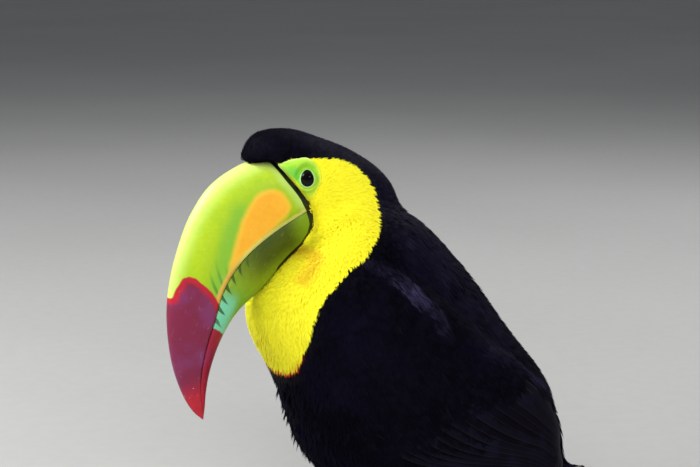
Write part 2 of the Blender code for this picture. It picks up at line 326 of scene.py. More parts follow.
def stepped(value, low, high, first=0.0, last=1.0):
    # a smooth step from first to last as the value goes from low to high
    limits = {"From Min": low, "From Max": high, "To Min": first, "To Max": last}
    made = put("ShaderNodeMapRange", {"Value": value, **limits}, interpolation_type="SMOOTHSTEP")
    return made.outputs["Result"]


def blended(share, first, second):
    return put("ShaderNodeMix", {0: share, 6: first, 7: second}, data_type="RGBA").outputs[2]


def toned(tone, dark, pale):
    return blended(stepped(tone, 0.3, 0.7), dark, pale)


def layered(colour, *layers):
    # further colours over the first, each with its share
    for share, over in layers:
        colour = blended(share, colour, over)
    return colour


def objectPlace():
    return put("ShaderNodeTexCoord").outputs["Object"]


def noise(place, scale, detail=3.0, rough=0.55, distortion=0.0):
    shape = {"Scale": scale, "Detail": detail, "Roughness": rough, "Distortion": distortion}
    return put("ShaderNodeTexNoise", {"Vector": place, **shape}).outputs["Fac"]


def dots(place, scale):
    return put("ShaderNodeTexVoronoi", {"Vector": place, "Scale": scale}, feature="F1").outputs["Distance"]


def coloured(shader, colour, roughness):
    feed(shader.inputs["Base Color"], colour)
    feed(shader.inputs["Roughness"], roughness)


def bumped(shader, height, strength, distance):
    made = put("ShaderNodeBump", {"Strength": strength, "Distance": distance, "Height": height})
    feed(shader.inputs["Normal"], made.outputs["Normal"])


# uneven tone: one broad and one fine noise
mottle, into, out = newGroup("mottle", {"Factor": "Float"}, Broad=60.0, Fine=600.0, Fineness=0.4)
broad, fine = (noise(into["Vector"], into[key]) for key in ("Broad", "Fine"))
feed(out["Factor"], put("ShaderNodeMix", {0: into["Fineness"], 2: broad, 3: fine}).outputs[0])

# growth lines and fine scratches of horn: height and a wear mask
hornWear, into, out = newGroup("hornWear", {"Height": "Float", "Wear": "Float"},
                               Growth=0.0, Pitch=5.0, Scratches=0.5)
wander = times(noise(into["Vector"], 90.0), 0.6)
growthLine = sine(times(plus(into["Growth"], wander), into["Pitch"], 6.283))
drawn = put("ShaderNodeMapping", {"Vector": into["Vector"], "Scale": (1.0, 0.25, 0.12)}).outputs[0]
scratches = stepped(noise(drawn, 1500.0, 4.0, 0.6, 0.4), 0.60, 0.74)
feed(out["Height"], plus(times(growthLine, 0.16), times(scratches, into["Scratches"], -0.5)))
feed(out["Wear"], scratches)

# the plumage's colours and its painted sheen, the same on skin and feathers
plumageColour, into, out = newGroup("plumageColour", {"Colour": "Color"}, Yellow=0.0, Warm=0.0, Red=0.0,
                                    White=0.0, Blue=0.0, Tone=0.5, Along=0.5)
tone = into["Tone"]
black = layered(
    blended(tone, (0.0010, 0.0008, 0.0020), (0.0032, 0.0026, 0.0062)),
    (stepped(noise(into["Vector"], 22.0, 2.0), 0.45, 0.75), (0.0034, 0.0027, 0.0085)),
    # painted sheen: a bluish highlight where the coat's folds and the mantle catch the light
    (times(into["Blue"], tone), (0.060, 0.051, 0.125)))
lemon = layered(
    blended(tone, (0.86, 0.76, 0.012), (0.90, 0.83, 0.020)),
    (stepped(into["Along"], 0.55, 1.0), (0.93, 0.89, 0.040)),
    (into["Warm"], (0.62, 0.26, 0.012)))
scarlet = blended(tone, (0.42, 0.012, 0.008), (0.62, 0.030, 0.010))
cream = blended(tone, (0.72, 0.68, 0.56), (0.88, 0.86, 0.78))
feed(out["Colour"], layered(black, (into["Yellow"], lemon), (into["White"], cream), (into["Red"], scarlet)))


def mottled(place, broad, fine, fineness):
    return useGroup(mottle, place, Broad=broad, Fine=fine, Fineness=fineness)["Factor"]


def plumageMaterial(name, strength, **finish):
    material, shader = newMaterial(name, **finish)
    place = objectPlace()
    keys = ("yellow", "warm", "red", "white", "blue", "tone", "along")
    colour = useGroup(plumageColour, place, **{key.title(): attribute(key) for key in keys})["Colour"]
    speckle = mottled(place, 180.0, 1400.0, 0.6)
    coloured(shader, colour, stepped(speckle, 0.3, 0.7, 0.55, 0.80))
    barbs = sine(times(attribute("across"), 26.0))
    bumped(shader, plus(times(barbs, 0.5), speckle), strength, 0.0002)
    return material


blackPlumage = plumageMaterial("blackPlumage", 0.35, Specular_IOR_Level=0.03, Sheen_Weight=0.012,
                               Sheen_Roughness=0.35, Sheen_Tint=(0.40, 0.34, 0.95, 1))
brightPlumage = plumageMaterial("brightPlumage", 0.25, Specular_IOR_Level=0.06, Sheen_Weight=0.02,
                                Sheen_Roughness=0.5, Sheen_Tint=(1.0, 0.95, 0.6, 1))
skinUnderlay = plumageMaterial("skinUnderlay", 0.30, Specular_IOR_Level=0.15)
print("materials' shared groups made")


# markings and painted sheen, told by place alone so that skin and feathers agree

marks = {
    # seen from the side of the head, centimetres ahead and above: face, throat and bib in one
    "yellow": [(1.1, 0.45), (0.5, 0.42), (0.0, 0.40), (-0.6, 0.4), (-1.1, 0.05), (-1.75, -0.37),
               (-2.5, -0.85), (-3.0, -1.33), (-3.4, -2.0), (-3.6, -2.9), (-3.6, -3.6), (-3.4, -4.2),
               (-3.0, -4.7), (-2.2, -5.14), (-1.5, -5.45), (-0.6, -5.72), (0.8, -5.92), (1.6, -6.14),
               (2.4, -6.33), (3.1, -6.76), (3.8, -7.45), (4.5, -8.46), (5.0, -9.15), (5.35, -9.65),
               (5.6, -9.93), (5.9, -10.05), (8.0, -10.0), (12.0, -9.0), (12.0, 0.45)],
    "capHalfWidth": 1.5,  # the cap comes down this far on each side of the forehead
    "redBand": 0.08,  # width of the red edge below the bib
    "rump": [(4.6, 6.0), (4.6, 1.75), (8.5, 0.9), (8.5, 4.0)],
    "vent": [(-2.2, 2.2), (2.2, 1.3), (4.0, 0.95), (7.6, 0.6), (7.6, -0.5), (-2.2, -0.5)],
    "throatWarmth": [(1.35, -4.55), (2.0, -4.95), (2.8, -5.35)],
    # bare skin round the eye, centimetres ahead, above and outwards: down the bill's base, round behind
    "bareSkin": [(0.26, 0.52, 1.72), (0.19, 0.02, 1.84), (0.11, -0.5, 1.93), (0.02, -1.0, 1.98),
                 (-0.07, -1.6, 1.96), (-0.13, -2.15, 1.94), (-0.34, -2.12, 2.35), (-0.66, -1.72, 2.69),
                 (-1.11, -1.39, 2.76), (-1.36, -0.90, 2.72), (-1.42, -0.42, 2.54), (-1.16, 0.10, 2.35),
                 (-0.70, 0.38, 2.23), (-0.09, 0.58, 2.02)],
    # the face's front, centimetres above and ahead: where the bill's base comes out of it
    "faceFront": [(-5.0, 2.8), (-4.5, 1.0), (-4.0, 0.35), (-3.5, 0.08), (-3.0, -0.06), (-2.4, -0.12),
                  (-1.73, -0.08), (-1.0, 0.03), (-0.5, 0.12), (0.02, 0.20), (0.45, 0.28), (0.55, 0.45),
                  (0.70, 1.3)],
    "frontBetween": (-4.6, 0.7),  # centimetres above, where the face keeps to it
    # folds of the coat that catch the light, row centimetres sideways, back and up: shoulder, wing's edge
    "ridges": [[(4.5, -8.6, 15.57), (4.4, -7.94, 15.32), (4.5, -7.3, 14.99), (4.5, -6.26, 14.21),
                (4.6, -5.61, 13.44), (4.5, -4.83, 12.84), (4.7, -4.2, 11.8)],
               [(3.84, -1.47, 10.13), (3.03, -0.41, 9.62), (2.5, 0.68, 8.71), (1.41, 1.9, 7.58),
                (1.0, 2.29, 7.1)]],
    "ridgeWidth": 0.45,
    "gleams": [(4.58, -5.75, 13.6), (2.2, 1.6, 7.9)],  # where the folds shine most
    "gleamWidth": 0.85,
}


def toLeft(points):
    # row centimetres, with the right side's points mirrored to the left
    row = np.asarray(points) / cm
    return row * np.where(row[:, :1] < 0, (-1, 1, 1), 1)


def ridgeShare(points):
    gap = np.min([edgeDistance(toLeft(points), line, closed=False) for line in marks["ridges"]], axis=0)
    return np.exp(-2 * (gap / marks["ridgeWidth"]) ** 2)


def markings(points):
    seen = toHead(points)
    side = seen[:, :2]
    row = toLeft(points)
    forehead = (np.abs(seen[:, 2]) < marks["capHalfWidth"]) & (side[:, 1] > -0.6)
    yellow = np.where(forehead, -1.0, edgeDistance(side, marks["yellow"]))
    gleam = np.min([sizes(row - place) for place in marks["gleams"]], axis=0)
    gleam = ridgeShare(points) * (0.22 + 0.78 * np.exp(-(gleam / marks["gleamWidth"]) ** 2))
    mantle = ease(row[:, 2], 8.0, 12.0) * ease(row[:, 1] + 0.9 * row[:, 2], 7.0, 9.5)
    rump = edgeDistance(row[:, 1:], marks["rump"])
    vent = edgeDistance(row[:, 1:], marks["vent"])
    low = ease(row[:, 2], 10.6, 9.4)  # the bib's foot
    band = low * ease(-yellow, 0.0, 0.02) * ease(yellow, -marks["redBand"], -0.7 * marks["redBand"])
    below = edgeDistance(side, marks["throatWarmth"], closed=False)
    return {
        "yellow": ease(yellow, -0.02, 0.02),
        "warm": 0.5 * ease(-below, -0.45, -0.02) + 0.55 * ease(-yellow, -0.22, 0.0) * low,
        "red": np.maximum(band, ease(vent, -0.1, 0.1)),
        "white": ease(rump, -0.1, 0.1),
        # painted highlight: bluish sheen along the shining folds, fainter over the mantle
        "blue": np.maximum(gleam, 0.13 * mantle),
    }


# the lie and depth of the coat

body = {
    # back y and z, front y and z, half width, sideways shift, coat depth, from the neck to the tail's root
    "sections": [(-7.74, 18.9, -11.34, 16.4, 3.1, 0.5, 0.32),
                 (-5.34, 17.5, -13.44, 15.0, 4.1, 0.35, 0.34),
                 (-3.44, 15.6, -14.84, 12.9, 4.65, 0.15, 0.40),
                 (-1.84, 13.7, -14.74, 10.9, 5.05, 0, 0.45), (-0.44, 11.65, -13.64, 8.7, 5.3, 0, 0.50),
                 (0.81, 9.97, -12.84, 6.6, 5.35, 0, 0.55), (2.04, 8.42, -11.94, 4.2, 5.15, 0, 0.55),
                 (2.79, 6.95, -10.34, 2.65, 4.6, 0, 0.55), (3.11, 5.5, -5.14, 2.15, 3.9, 0, 0.50),
                 (3.31, 3.85, -0.94, 1.7, 3.3, 0, 0.42), (3.96, 2.45, 2.26, 1.1, 2.85, 0, 0.32),
                 (5.66, 1.75, 4.46, 0.6, 2.5, 0, 0.22), (7.06, 1.35, 6.66, 0.45, 1.9, 0, 0.16)],
    "bellyFullness": 0.10,
    "featherFocus": (1.2, -1.8, 0.0),  # the head's feathers point away from here
    "headSections": [(0.10, 1.00, -5.10, 1.98), (-0.80, 2.00, -5.60, 2.75), (-2.00, 1.15, -6.00, 2.95),
                     (-3.20, -0.20, -6.30, 3.00), (-4.20, -1.45, -6.40, 2.80),
                     (-5.00, -2.90, -6.30, 2.20)],
    "voxel": 0.0015,
    "swell": 0.0004,
    "filledSmoothing": 30,
    "napeSmoothing": 240,  # rounds of smoothing where the head sinks into the neck
    "browLift": 0.17, "ridgeHeight": 0.16,
    "lieReach": 0.011,  # metres over which the feathers' ways are averaged
    "ankleRise": 0.022,  # metres from the tarsus's middle up to the ankle
    "nearSolid": 0.022,  # metres round a solid's box where the distance from it counts
    "wingDepth": 0.22, "thighDepth": 0.26, "faceDepth": 0.15, "crownDepth": 0.28, "eyeDepth": 0.075,
    "throatDepth": 0.16, "bibDepth": 0.36, "billDepth": 0.16,
    "socketDepth": 0.4,  # under the eyes and their lids
    "eyeReach": (1.05, 0.80),  # the socket begins and is deepest at these distances from the eye
    "besideBill": (0.04, 0.5), "besideAnkle": (0.08, 0.16),  # depth there, and its growth to a centimetre
}


def bodyPlace(section, degrees, outwards=0.0):
    # row metres of the body at a section and an angle: 0 is its left side, 90 its back
    values = smoothLine(body["sections"], section)
    turn = np.radians(degrees)
    lift = np.sin(turn)
    middle = (values[:, 0:2] + values[:, 2:4]) / 2
    rise = (values[:, 0:2] - values[:, 2:4]) / 2
    height = sizes(rise)
    width = values[:, 4] * (1 - body["bellyFullness"] * lift)
    side = middle + rise * (lift * (1 + outwards / height))[:, None]
    return cm * np.column_stack((values[:, 5] + (width + outwards) * np.cos(turn), side))


def lieTable():
    # places on the body and head, each with the way its feathers point
    sections, degrees = np.meshgrid(np.arange(0, 12.01, 0.25), np.arange(0, 360, 10), indexing="ij")
    sections, degrees = sections.ravel(), degrees.ravel()
    places = bodyPlace(sections, degrees)
    ways = unit(bodyPlace(sections + 0.1, degrees) - bodyPlace(sections - 0.1, degrees))
    turns = np.radians(np.arange(0, 360, 15))
    headPlaces = []
    for ahead, top, bottom, halfWidth in body["headSections"]:
        above = (top + bottom) / 2 + (top - bottom) / 2 * np.sin(turns)
        headPlaces.append(np.column_stack((np.full(len(turns), ahead), above, halfWidth * np.cos(turns))))
    headPlaces = np.concatenate(headPlaces)
    headWays = unit(headPlaces - np.array(body["featherFocus"])) @ headAxes
    return np.concatenate((places, fromHead(headPlaces))), np.concatenate((ways, headWays))


liePlaces, lieWays = lieTable()
lieTree = KDTree(len(liePlaces))
for number, place in enumerate(liePlaces):
    lieTree.insert(place, number)
lieTree.balance()


def lieAt(points):
    ways = np.zeros((len(points), 3))
    for number, point in enumerate(points):
        near = lieTree.find_n(point, 10)
        weights = np.exp(-(np.array([found[2] for found in near]) / body["lieReach"]) ** 2)
        ways[number] = (weights[:, None] * lieWays[[found[1] for found in near]]).sum(0)
    return unit(ways)


# one skin under all the feathers

flesh = ["head", "neck", "trunk", "thigh_left", "thigh_right", "wing_left", "wing_right"]
zoneNodes = flesh + ["bill_upper", "bill_lower", "eye_left", "eye_right", "tarsus_left", "tarsus_right"]
billRoot = joinedCopy("billRoot", ["bill_upper", "bill_lower"], body["swell"])
farBill = fromHead([(1.1, 0, 0)])[0]
cutAhead = {"plane_co": farBill, "plane_no": aheadWay, "clear_outer": True, "use_fill": True}
inEdit(billRoot, lambda: bpy.ops.mesh.bisect(**cutAhead))
skin = joined("skin", [joinedCopy("skin", flesh + ["eye_left", "eye_right"], body["swell"]), billRoot])
applied(skin, "REMESH", mode="VOXEL", voxel_size=body["voxel"])
applied(skin, "SMOOTH", factor=0.5, iterations=10)
edges = readFrom(skin.data.edges, "vertices", 2, np.int64)


def spread(values, rounds):
    # averages values over each point's neighbours
    size = len(skin.data.vertices)
    count = np.bincount(edges.ravel(), minlength=size)[:, None] + 1
    values = np.array(values, float).reshape(size, -1)
    for _ in range(rounds):
        total = values.copy()
        for axis in range(values.shape[1]):
            total[:, axis] += np.bincount(edges[:, 0], values[edges[:, 1], axis], size)
            total[:, axis] += np.bincount(edges[:, 1], values[edges[:, 0], axis], size)
        values = total / count
    return values


def gapsTo(points):
    # how far each point is from each solid that is near it
    gaps = np.full((len(zoneNodes), len(points)), 1e3)
    for number, node in enumerate(zoneNodes):
        tree = BVHTree.FromObject(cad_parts[node], bpy.context.evaluated_depsgraph_get())
        low, high = (np.array(corner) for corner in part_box(node))
        near = np.all((points > low - body["nearSolid"]) & (points < high + body["nearSolid"]), axis=1)
        for index in np.flatnonzero(near):
            gaps[number, index] = tree.find_nearest(points[index])[3]
    return gaps / cm


coatTop = pointsOf(skin)
gaps = gapsTo(coatTop)
coatZones = gaps.argmin(0)
isZone = {name: np.isin(coatZones, [n for n, node in enumerate(zoneNodes) if node.startswith(name)])
          for name in ("head", "neck", "trunk", "thigh", "wing", "bill", "eye", "tarsus")}
billGap = np.minimum(gaps[zoneNodes.index("bill_upper")], gaps[zoneNodes.index("bill_lower")])

# the face stops at the bill's base, and the head sinks softly into the neck
headPlace = toHead(coatTop)
front = np.array(marks["faceFront"])
limit = np.interp(headPlace[:, 1], front[:, 0], front[:, 1])
lowest, highest = marks["frontBetween"]
isFace = isZone["head"] & (headPlace[:, 1] > lowest) & (headPlace[:, 1] < highest)
headPlace[:, 0] = np.where(isFace, np.minimum(headPlace[:, 0], limit), headPlace[:, 0])
coatTop = fromHead(headPlace)
fold = np.maximum(gaps[zoneNodes.index("head")], gaps[zoneNodes.index("neck")])
softness = (ease(fold, 2.8, 1.1) * ease(billGap, 0.3, 0.9))[:, None]
before, outwards = coatTop.copy(), normalsOf(skin)
for _ in range(body["napeSmoothing"]):
    coatTop += softness * (spread(coatTop, 1) - coatTop)
filled = ((coatTop - before) * outwards).sum(1, keepdims=True)
coatTop = before + np.maximum(filled, 0) * outwards  # folds are filled, nothing is hollowed

# the forehead's feathers stand up round the root of the bill, and the coat's folds stand out
headPlace = toHead(coatTop)
brow = ease(headPlace[:, 0], 0.5, 1.1) * ease(headPlace[:, 1], 1.9, 1.1) * isZone["head"]
edge = ease(headPlace[:, 0], 0.25, 0.6) * ease(headPlace[:, 1], 1.45, 0.75) * isZone["head"]
edge *= ease(headPlace[:, 1], 0.2, 0.5)
raised = body["ridgeHeight"] * ridgeShare(coatTop)
coatTop += cm * brow[:, None] * (body["browLift"] * aheadWay + 0.02 * aboveWay)
coatTop += cm * (raised[:, None] * outwards + body["browLift"] * edge[:, None] * aboveWay)
for _ in range(body["filledSmoothing"]):
    coatTop += softness * (spread(coatTop, 1) - coatTop)
setPoints(skin, coatTop)
coatNormals = unit(spread(normalsOf(skin), 4))
coatTop -= coatNormals * body["swell"]
headPlace = toHead(coatTop)
faces = [list(face.vertices) for face in skin.data.polygons]
topTree = BVHTree.FromPolygons([Vector(point) for point in coatTop], faces)
sectionTree = KDTree(49)
for number, section in enumerate(np.arange(0, 12.01, 0.25)):
    middle = (bodyPlace([section], [90])[0] + bodyPlace([section], [270])[0]) / 2
    sectionTree.insert(middle, number)
sectionTree.balance()
sectionAt = np.array([sectionTree.find(point)[1] * 0.25 for point in coatTop])

# the coat's depth at each point, which the skin lies below
seenMarks = markings(coatTop)
depth = smoothLine(body["sections"], sectionAt)[:, 6]
headDepth = np.where(seenMarks["yellow"] > 0.5, body["faceDepth"], body["crownDepth"])
depth = np.where(isZone["head"] | isZone["bill"] | isZone["eye"], headDepth, depth)
depth = np.where(isZone["wing"], body["wingDepth"], depth)
depth = np.where(isZone["thigh"], body["thighDepth"], depth)
onBib = (seenMarks["yellow"] > 0.5) & ~isZone["head"]
bibShare = ease(headPlace[:, 1], -3.5, -7.0)  # from throat to breast
bibDepth = body["throatDepth"] + (body["bibDepth"] - body["throatDepth"]) * bibShare
depth = np.where(onBib, np.minimum(depth, bibDepth), depth)
depth = spread(depth, 8)[:, 0]
bareOutline = [place[:2] for place in marks["bareSkin"][5:]] + [(1.2, 0.7), (1.2, -2.05)]
bareGap = np.where((headPlace[:, 0] > -1.7) & (np.abs(headPlace[:, 2]) > 0.9),
                   edgeDistance(headPlace[:, :2], bareOutline), -1.0)
depth += (body["eyeDepth"] - depth) * ease(bareGap, -0.35, 0.0)
eyeGap = np.minimum(*(sizes(coatTop - boxMiddle(node)) for node in ("eye_left", "eye_right"))) / cm
least, growth = body["besideBill"]
depth = np.where(isZone["bill"], body["billDepth"], np.minimum(depth, least + growth * billGap))
depth = np.maximum(depth, body["socketDepth"] * ease(eyeGap, *body["eyeReach"]))
ankles = (boxMiddle(node) + (0, 0, body["ankleRise"]) for node in ("tarsus_left", "tarsus_right"))
ankleGap = np.minimum(*(sizes(coatTop - ankle) for ankle in ankles)) / cm
least, growth = body["besideAnkle"]
depth = np.minimum(depth, least + growth * ankleGap)
depth = spread(depth, 3)[:, 0]
setPoints(skin, coatTop - coatNormals * (cm * depth + body["swell"])[:, None])
setPoints(skin, spread(pointsOf(skin), 2))
print("skin:", len(faces), "faces")

skin.data.uv_layers.new(name="OFBake")
inEdit(skin, lambda: bpy.ops.uv.smart_project(angle_limit=math.radians(72), island_margin=0.002))
print("skin unwrapped")
paint(skin, **seenMarks, tone=0.4, along=0.1, across=0.0)
finished(skin, skinUnderlay, "black_plumage", *flesh)


# the bill, its lines in centimetres ahead and above on the head

bill = {
    "culmen": [(-0.5, -0.1), (0.4, 0.68), (1.9, 1.08), (3.7, 1.05), (5.4, 0.35), (6.8, -0.65),
               (8.1, -1.85), (9.15, -3.15), (10.0, -4.7), (10.6, -6.3), (10.9, -7.9), (10.88, -9.0),
               (10.66, -9.76)],
    "cuttingEdge": [(-0.5, -2.75), (0.4, -2.62), (2.1, -2.55), (3.6, -2.68), (4.8, -2.98), (5.7, -3.4),
                    (6.6, -4.05), (7.5, -5.0), (8.5, -5.95), (9.4, -7.0), (10.0, -8.0), (10.35, -8.95),
                    (10.60, -9.76)],
    "keel": [(-0.5, -4.75), (0.2, -4.88), (1.2, -5.02), (2.2, -5.2), (3.4, -5.42), (4.6, -5.58),
             (5.7, -5.72), (6.7, -6.05), (7.9, -6.75), (9.0, -7.68), (9.75, -8.55), (10.2, -9.2),
             (10.30, -9.34)],
    "halfWidths": [1.90, 1.95, 1.86, 1.70, 1.54, 1.38, 1.22, 1.05, 0.88, 0.70, 0.50, 0.30, 0.06],
    "tip": (10.6, -9.7),
    "lowerWidth": 0.96,
    "mouthGap": 0.035,
    "rows": 210, "corners": 72,
    "notches": 3.1, "notchDepth": 0.028,  # notches of the cutting edge to a centimetre, and their depth
    "red": [(9.3, -2.3), (8.72, -2.75), (8.19, -2.33), (7.78, -2.08), (7.44, -2.12), (7.2, -2.38),
            (7.05, -2.8), (6.93, -3.4), (6.86, -3.9), (6.9, -4.6), (9.0, -12.0), (13.0, -12.0),
            (13.0, -2.3)],
    "lowerRed": [(8.4, -4.7), (7.72, -5.33), (7.52, -5.72), (7.2, -6.6), (9.0, -12.0), (13.0, -12.0),
                 (13.0, -4.7)],
    "blaze": [(1.62, -0.40), (1.12, -0.60), (0.86, -0.95), (0.76, -1.45), (0.86, -1.95), (1.30, -2.2),
              (2.5, -2.44), (3.55, -2.55), (4.4, -2.72), (5.15, -3.0), (5.75, -3.35), (5.33, -2.68),
              (4.34, -1.76), (3.52, -1.05), (2.75, -0.62), (2.15, -0.40)],
    "baseLine": [(0.18, 0.6), (0.18, 0.02), (0.16, -0.5), (0.08, -1.0), (-0.05, -1.73), (-0.10, -2.2),
                 (-0.10, -2.9), (0.02, -3.6), (0.38, -4.1), (1.0, -4.52), (1.9, -4.70), (2.7, -4.94)],
    # the base line's widths, each after its place above
    "lineWidths": [(-4.8, 0.30), (-4.1, 0.30), (-2.8, 0.32), (-1.73, 0.20), (-0.6, 0.13), (0.4, 0.07)],
    "teal": [(3.4, -0.75), (4.3, -1.3), (5.1, -2.0), (5.8, -2.75), (6.4, -3.5), (6.6, -3.95)],
    "lowerTeal": [(6.35, -4.5), (6.9, -5.05), (7.5, -5.75)],
}


def flatGrid(name, rows, corners):
    # a grid, with each point's shares u and v of its width and length
    bpy.ops.mesh.primitive_grid_add(x_subdivisions=corners, y_subdivisions=rows, size=1)
    made = justMade(name)
    return made, *(pointsOf(made)[:, :2].T + 0.5)


def rolledGrid(name, rows, corners, place):
    # a grid rolled into a closed form: place(u, v) says where each of its points goes
    made, u, v = flatGrid(name, rows, corners)
    setPoints(made, place(u, v))
    paint(made, across=np.cos(2 * math.pi * u), along=v)
    inEdit(made, lambda: bpy.ops.mesh.remove_doubles(threshold=0.000005),
           lambda: bpy.ops.mesh.normals_make_consistent(inside=False))
    return made


def billPlace(u, v, upper):
    stations = 12 * (1 - (1 - np.clip(v * 1.02 - 0.02, 0, 1)) ** 1.12)  # closer together towards the tip
    ridge, edge, keel = (smoothLine(bill[line], stations) for line in ("culmen", "cuttingEdge", "keel"))
    halfWidth = smoothLine([(width,) for width in bill["halfWidths"]], stations)[:, 0]
    halfWidth *= np.sqrt(np.clip((1.0 - v) / 0.03, 0, 1))
    turn = 2 * math.pi * u
    if upper:
        lift = np.maximum(np.sin(turn), 0) ** (1.1 - 0.5 * ease(stations, 3.5, 0.5))
        width = halfWidth * np.cos(turn) * (1 - 0.12 * lift)
        place = edge + (ridge - edge) * lift[:, None]
    else:
        drop = keel - edge
        away = unit(drop) * (bill["mouthGap"] * (1 - 0.6 * ease(stations, 6, 10)))[:, None]
        lift = np.maximum(np.sin(turn), 0) ** 0.9
        width = bill["lowerWidth"] * halfWidth * np.cos(turn) * (1 - 0.10 * lift)
        place = edge + away + (drop - away) * lift[:, None]
    closing = np.clip(v / 0.02, 0, 1)  # the first rows draw in to close the root
    middle = (edge + (ridge if upper else keel)) / 2
    place = middle + (place - middle) * closing[:, None]
    return fromHead(np.column_stack((place, width * closing)))


def edgePlaces(side):
    # for flat places of the head: how far along the cutting edge, and how far from it
    cutting = smoothLine(bill["cuttingEdge"], np.linspace(0, 12, 400))
    run = np.concatenate(([0], np.cumsum(sizes(np.diff(cutting, axis=0)))))
    nearest = np.argmin(((side[:, None] - cutting[None]) ** 2).sum(2), axis=1)
    return run[nearest], sizes(side - cutting[nearest])


def paintBill(obj, upper):
    seen = toHead(pointsOf(obj))
    side = seen[:, :2]
    run, gap = edgePlaces(side)
    ridge = smoothLine(bill["culmen" if upper else "keel"], np.linspace(0, 12, 400))
    ridgeGap = np.sqrt(((side[:, None] - ridge[None]) ** 2).sum(2).min(1))
    behind = bill["baseLine"] + [(-3.0, -6.0), (-3.0, 0.5)]
    lineHeight, lineWidth = np.array(bill["lineWidths"]).T
    paint(obj, redGap=edgeDistance(side, bill["red" if upper else "lowerRed"]),
          blazeGap=edgeDistance(side, bill["blaze"]),
          tealGap=edgeDistance(side, bill["teal" if upper else "lowerTeal"], closed=False),
          edgeRun=run, edgeGap=gap, ridgeGap=np.hypot(ridgeGap, 0.7 * np.abs(seen[:, 2])),
          baseGap=edgeDistance(side, behind) + np.interp(side[:, 1], lineHeight, lineWidth),
          tipGap=sizes(side - np.array(bill["tip"])))


def notchEdge(obj, upper):
    # saw-like notches along the cutting edge
    seen = toHead(pointsOf(obj))
    run, gap = edgePlaces(seen[:, :2])
    wave = ((run * bill["notches"]) % 1.0) ** 0.6
    near = np.exp(-(gap / 0.12) ** 2) * ease(run, 3.0, 4.5) * (1 - ease(run, 11.5, 13.0))
    rise = np.array((0.55, 0.83)) if upper else np.array((-0.55, -0.83))
    seen[:, :2] += (bill["notchDepth"] * near * wave)[:, None] * rise
    setPoints(obj, fromHead(seen))


def upperHorn(tone, rag, blazeGap, tealGap, edgeRun, edgeGap, ridgeGap, baseGap, **others):
    # pale band along the culmen, wider towards the base: partly the ridge's own paler green, partly a
    # painted highlight
    culmenHighlight = stepped(plus(ridgeGap, times(edgeRun, 0.06)), 1.35, 0.15)
    teal = stepped(plus(tealGap, rag), 0.85, 0.1)
    streak = sine(times(plus(edgeRun, times(edgeGap, 0.9)), 11.0))
    streaks = times(stepped(streak, 0.1, 0.9), stepped(tealGap, 0.85, 0.2), stepped(edgeRun, 5.6, 7.0))
    blaze = plus(blazeGap, times(rag, 0.5))
    orange = layered(blended(stepped(tone, 0.3, 0.75), (0.72, 0.33, 0.018), (0.78, 0.40, 0.028)),
                     (stepped(blaze, 0.30, 0.0), (0.72, 0.43, 0.030)))
    pale = times(stepped(edgeGap, 0.25, 0.11), stepped(edgeRun, 6.6, 4.6))
    edgeRag = plus(edgeGap, times(rag, 0.35))
    return layered(
        blended(stepped(tone, 0.35, 0.7), (0.30, 0.46, 0.006), (0.40, 0.53, 0.009)),
        (times(stepped(ridgeGap, 0.9, 2.1), 0.55), (0.23, 0.39, 0.006)),
        (times(culmenHighlight, 0.75), (0.62, 0.76, 0.24)),
        (times(teal, 0.55), (0.12, 0.38, 0.04)),
        (times(streaks, 0.75), (0.045, 0.20, 0.022)),
        (times(stepped(baseGap, -0.55, -0.02), 0.65), (0.46, 0.62, 0.17)),
        (stepped(blaze, -0.17, 0.14), orange),
        (times(pale, 0.85), (0.70, 0.66, 0.20)),
        (times(stepped(edgeRag, 0.36, 0.20), stepped(edgeRun, 4.6, 6.4)), (0.60, 0.36, 0.06)))


def lowerHorn(tone, rag, tealGap, edgeRun, edgeGap, ridgeGap, **others):
    slant = plus(plus(edgeRun, times(edgeGap, -0.65)), times(rag, 0.35))
    tooth = absolute(minus(maths("FRACT", times(slant, 1.55)), 0.5))
    dashes = stepped(minus(times(stepped(edgeGap, 0.72, 0.02), 0.22), tooth), -0.03, 0.06)
    dashes = times(dashes, stepped(edgeRun, 4.4, 5.4), stepped(edgeRun, 10.6, 8.4))
    return layered(
        toned(tone, (0.17, 0.27, 0.008), (0.25, 0.36, 0.012)),
        # darker olive near the mouth line towards the base: partly the horn's own olive, partly painted
        # shadow under the upper mandible
        (times(stepped(edgeGap, 2.5, 1.1), stepped(edgeRun, 7.2, 3.8), 0.85), (0.016, 0.027, 0.003)),
        (times(stepped(minus(edgeRun, rag), 2.3, 1.0), 0.65), (0.20, 0.36, 0.012)),
        (times(stepped(ridgeGap, 0.75, 0.2), 0.45), (0.24, 0.38, 0.025)),
        (times(stepped(edgeRun, 5.5, 8.0), 0.8), (0.13, 0.36, 0.030)),
        (times(stepped(plus(tealGap, rag), 1.0, 0.2), stepped(edgeRun, 6.5, 8.0)), (0.16, 0.54, 0.34)),
        (times(stepped(ridgeGap, 0.55, 0.15), stepped(edgeRun, 6.0, 7.5), 0.6), (0.30, 0.62, 0.40)),
        (times(dashes, 0.85), (0.020, 0.060, 0.008)))


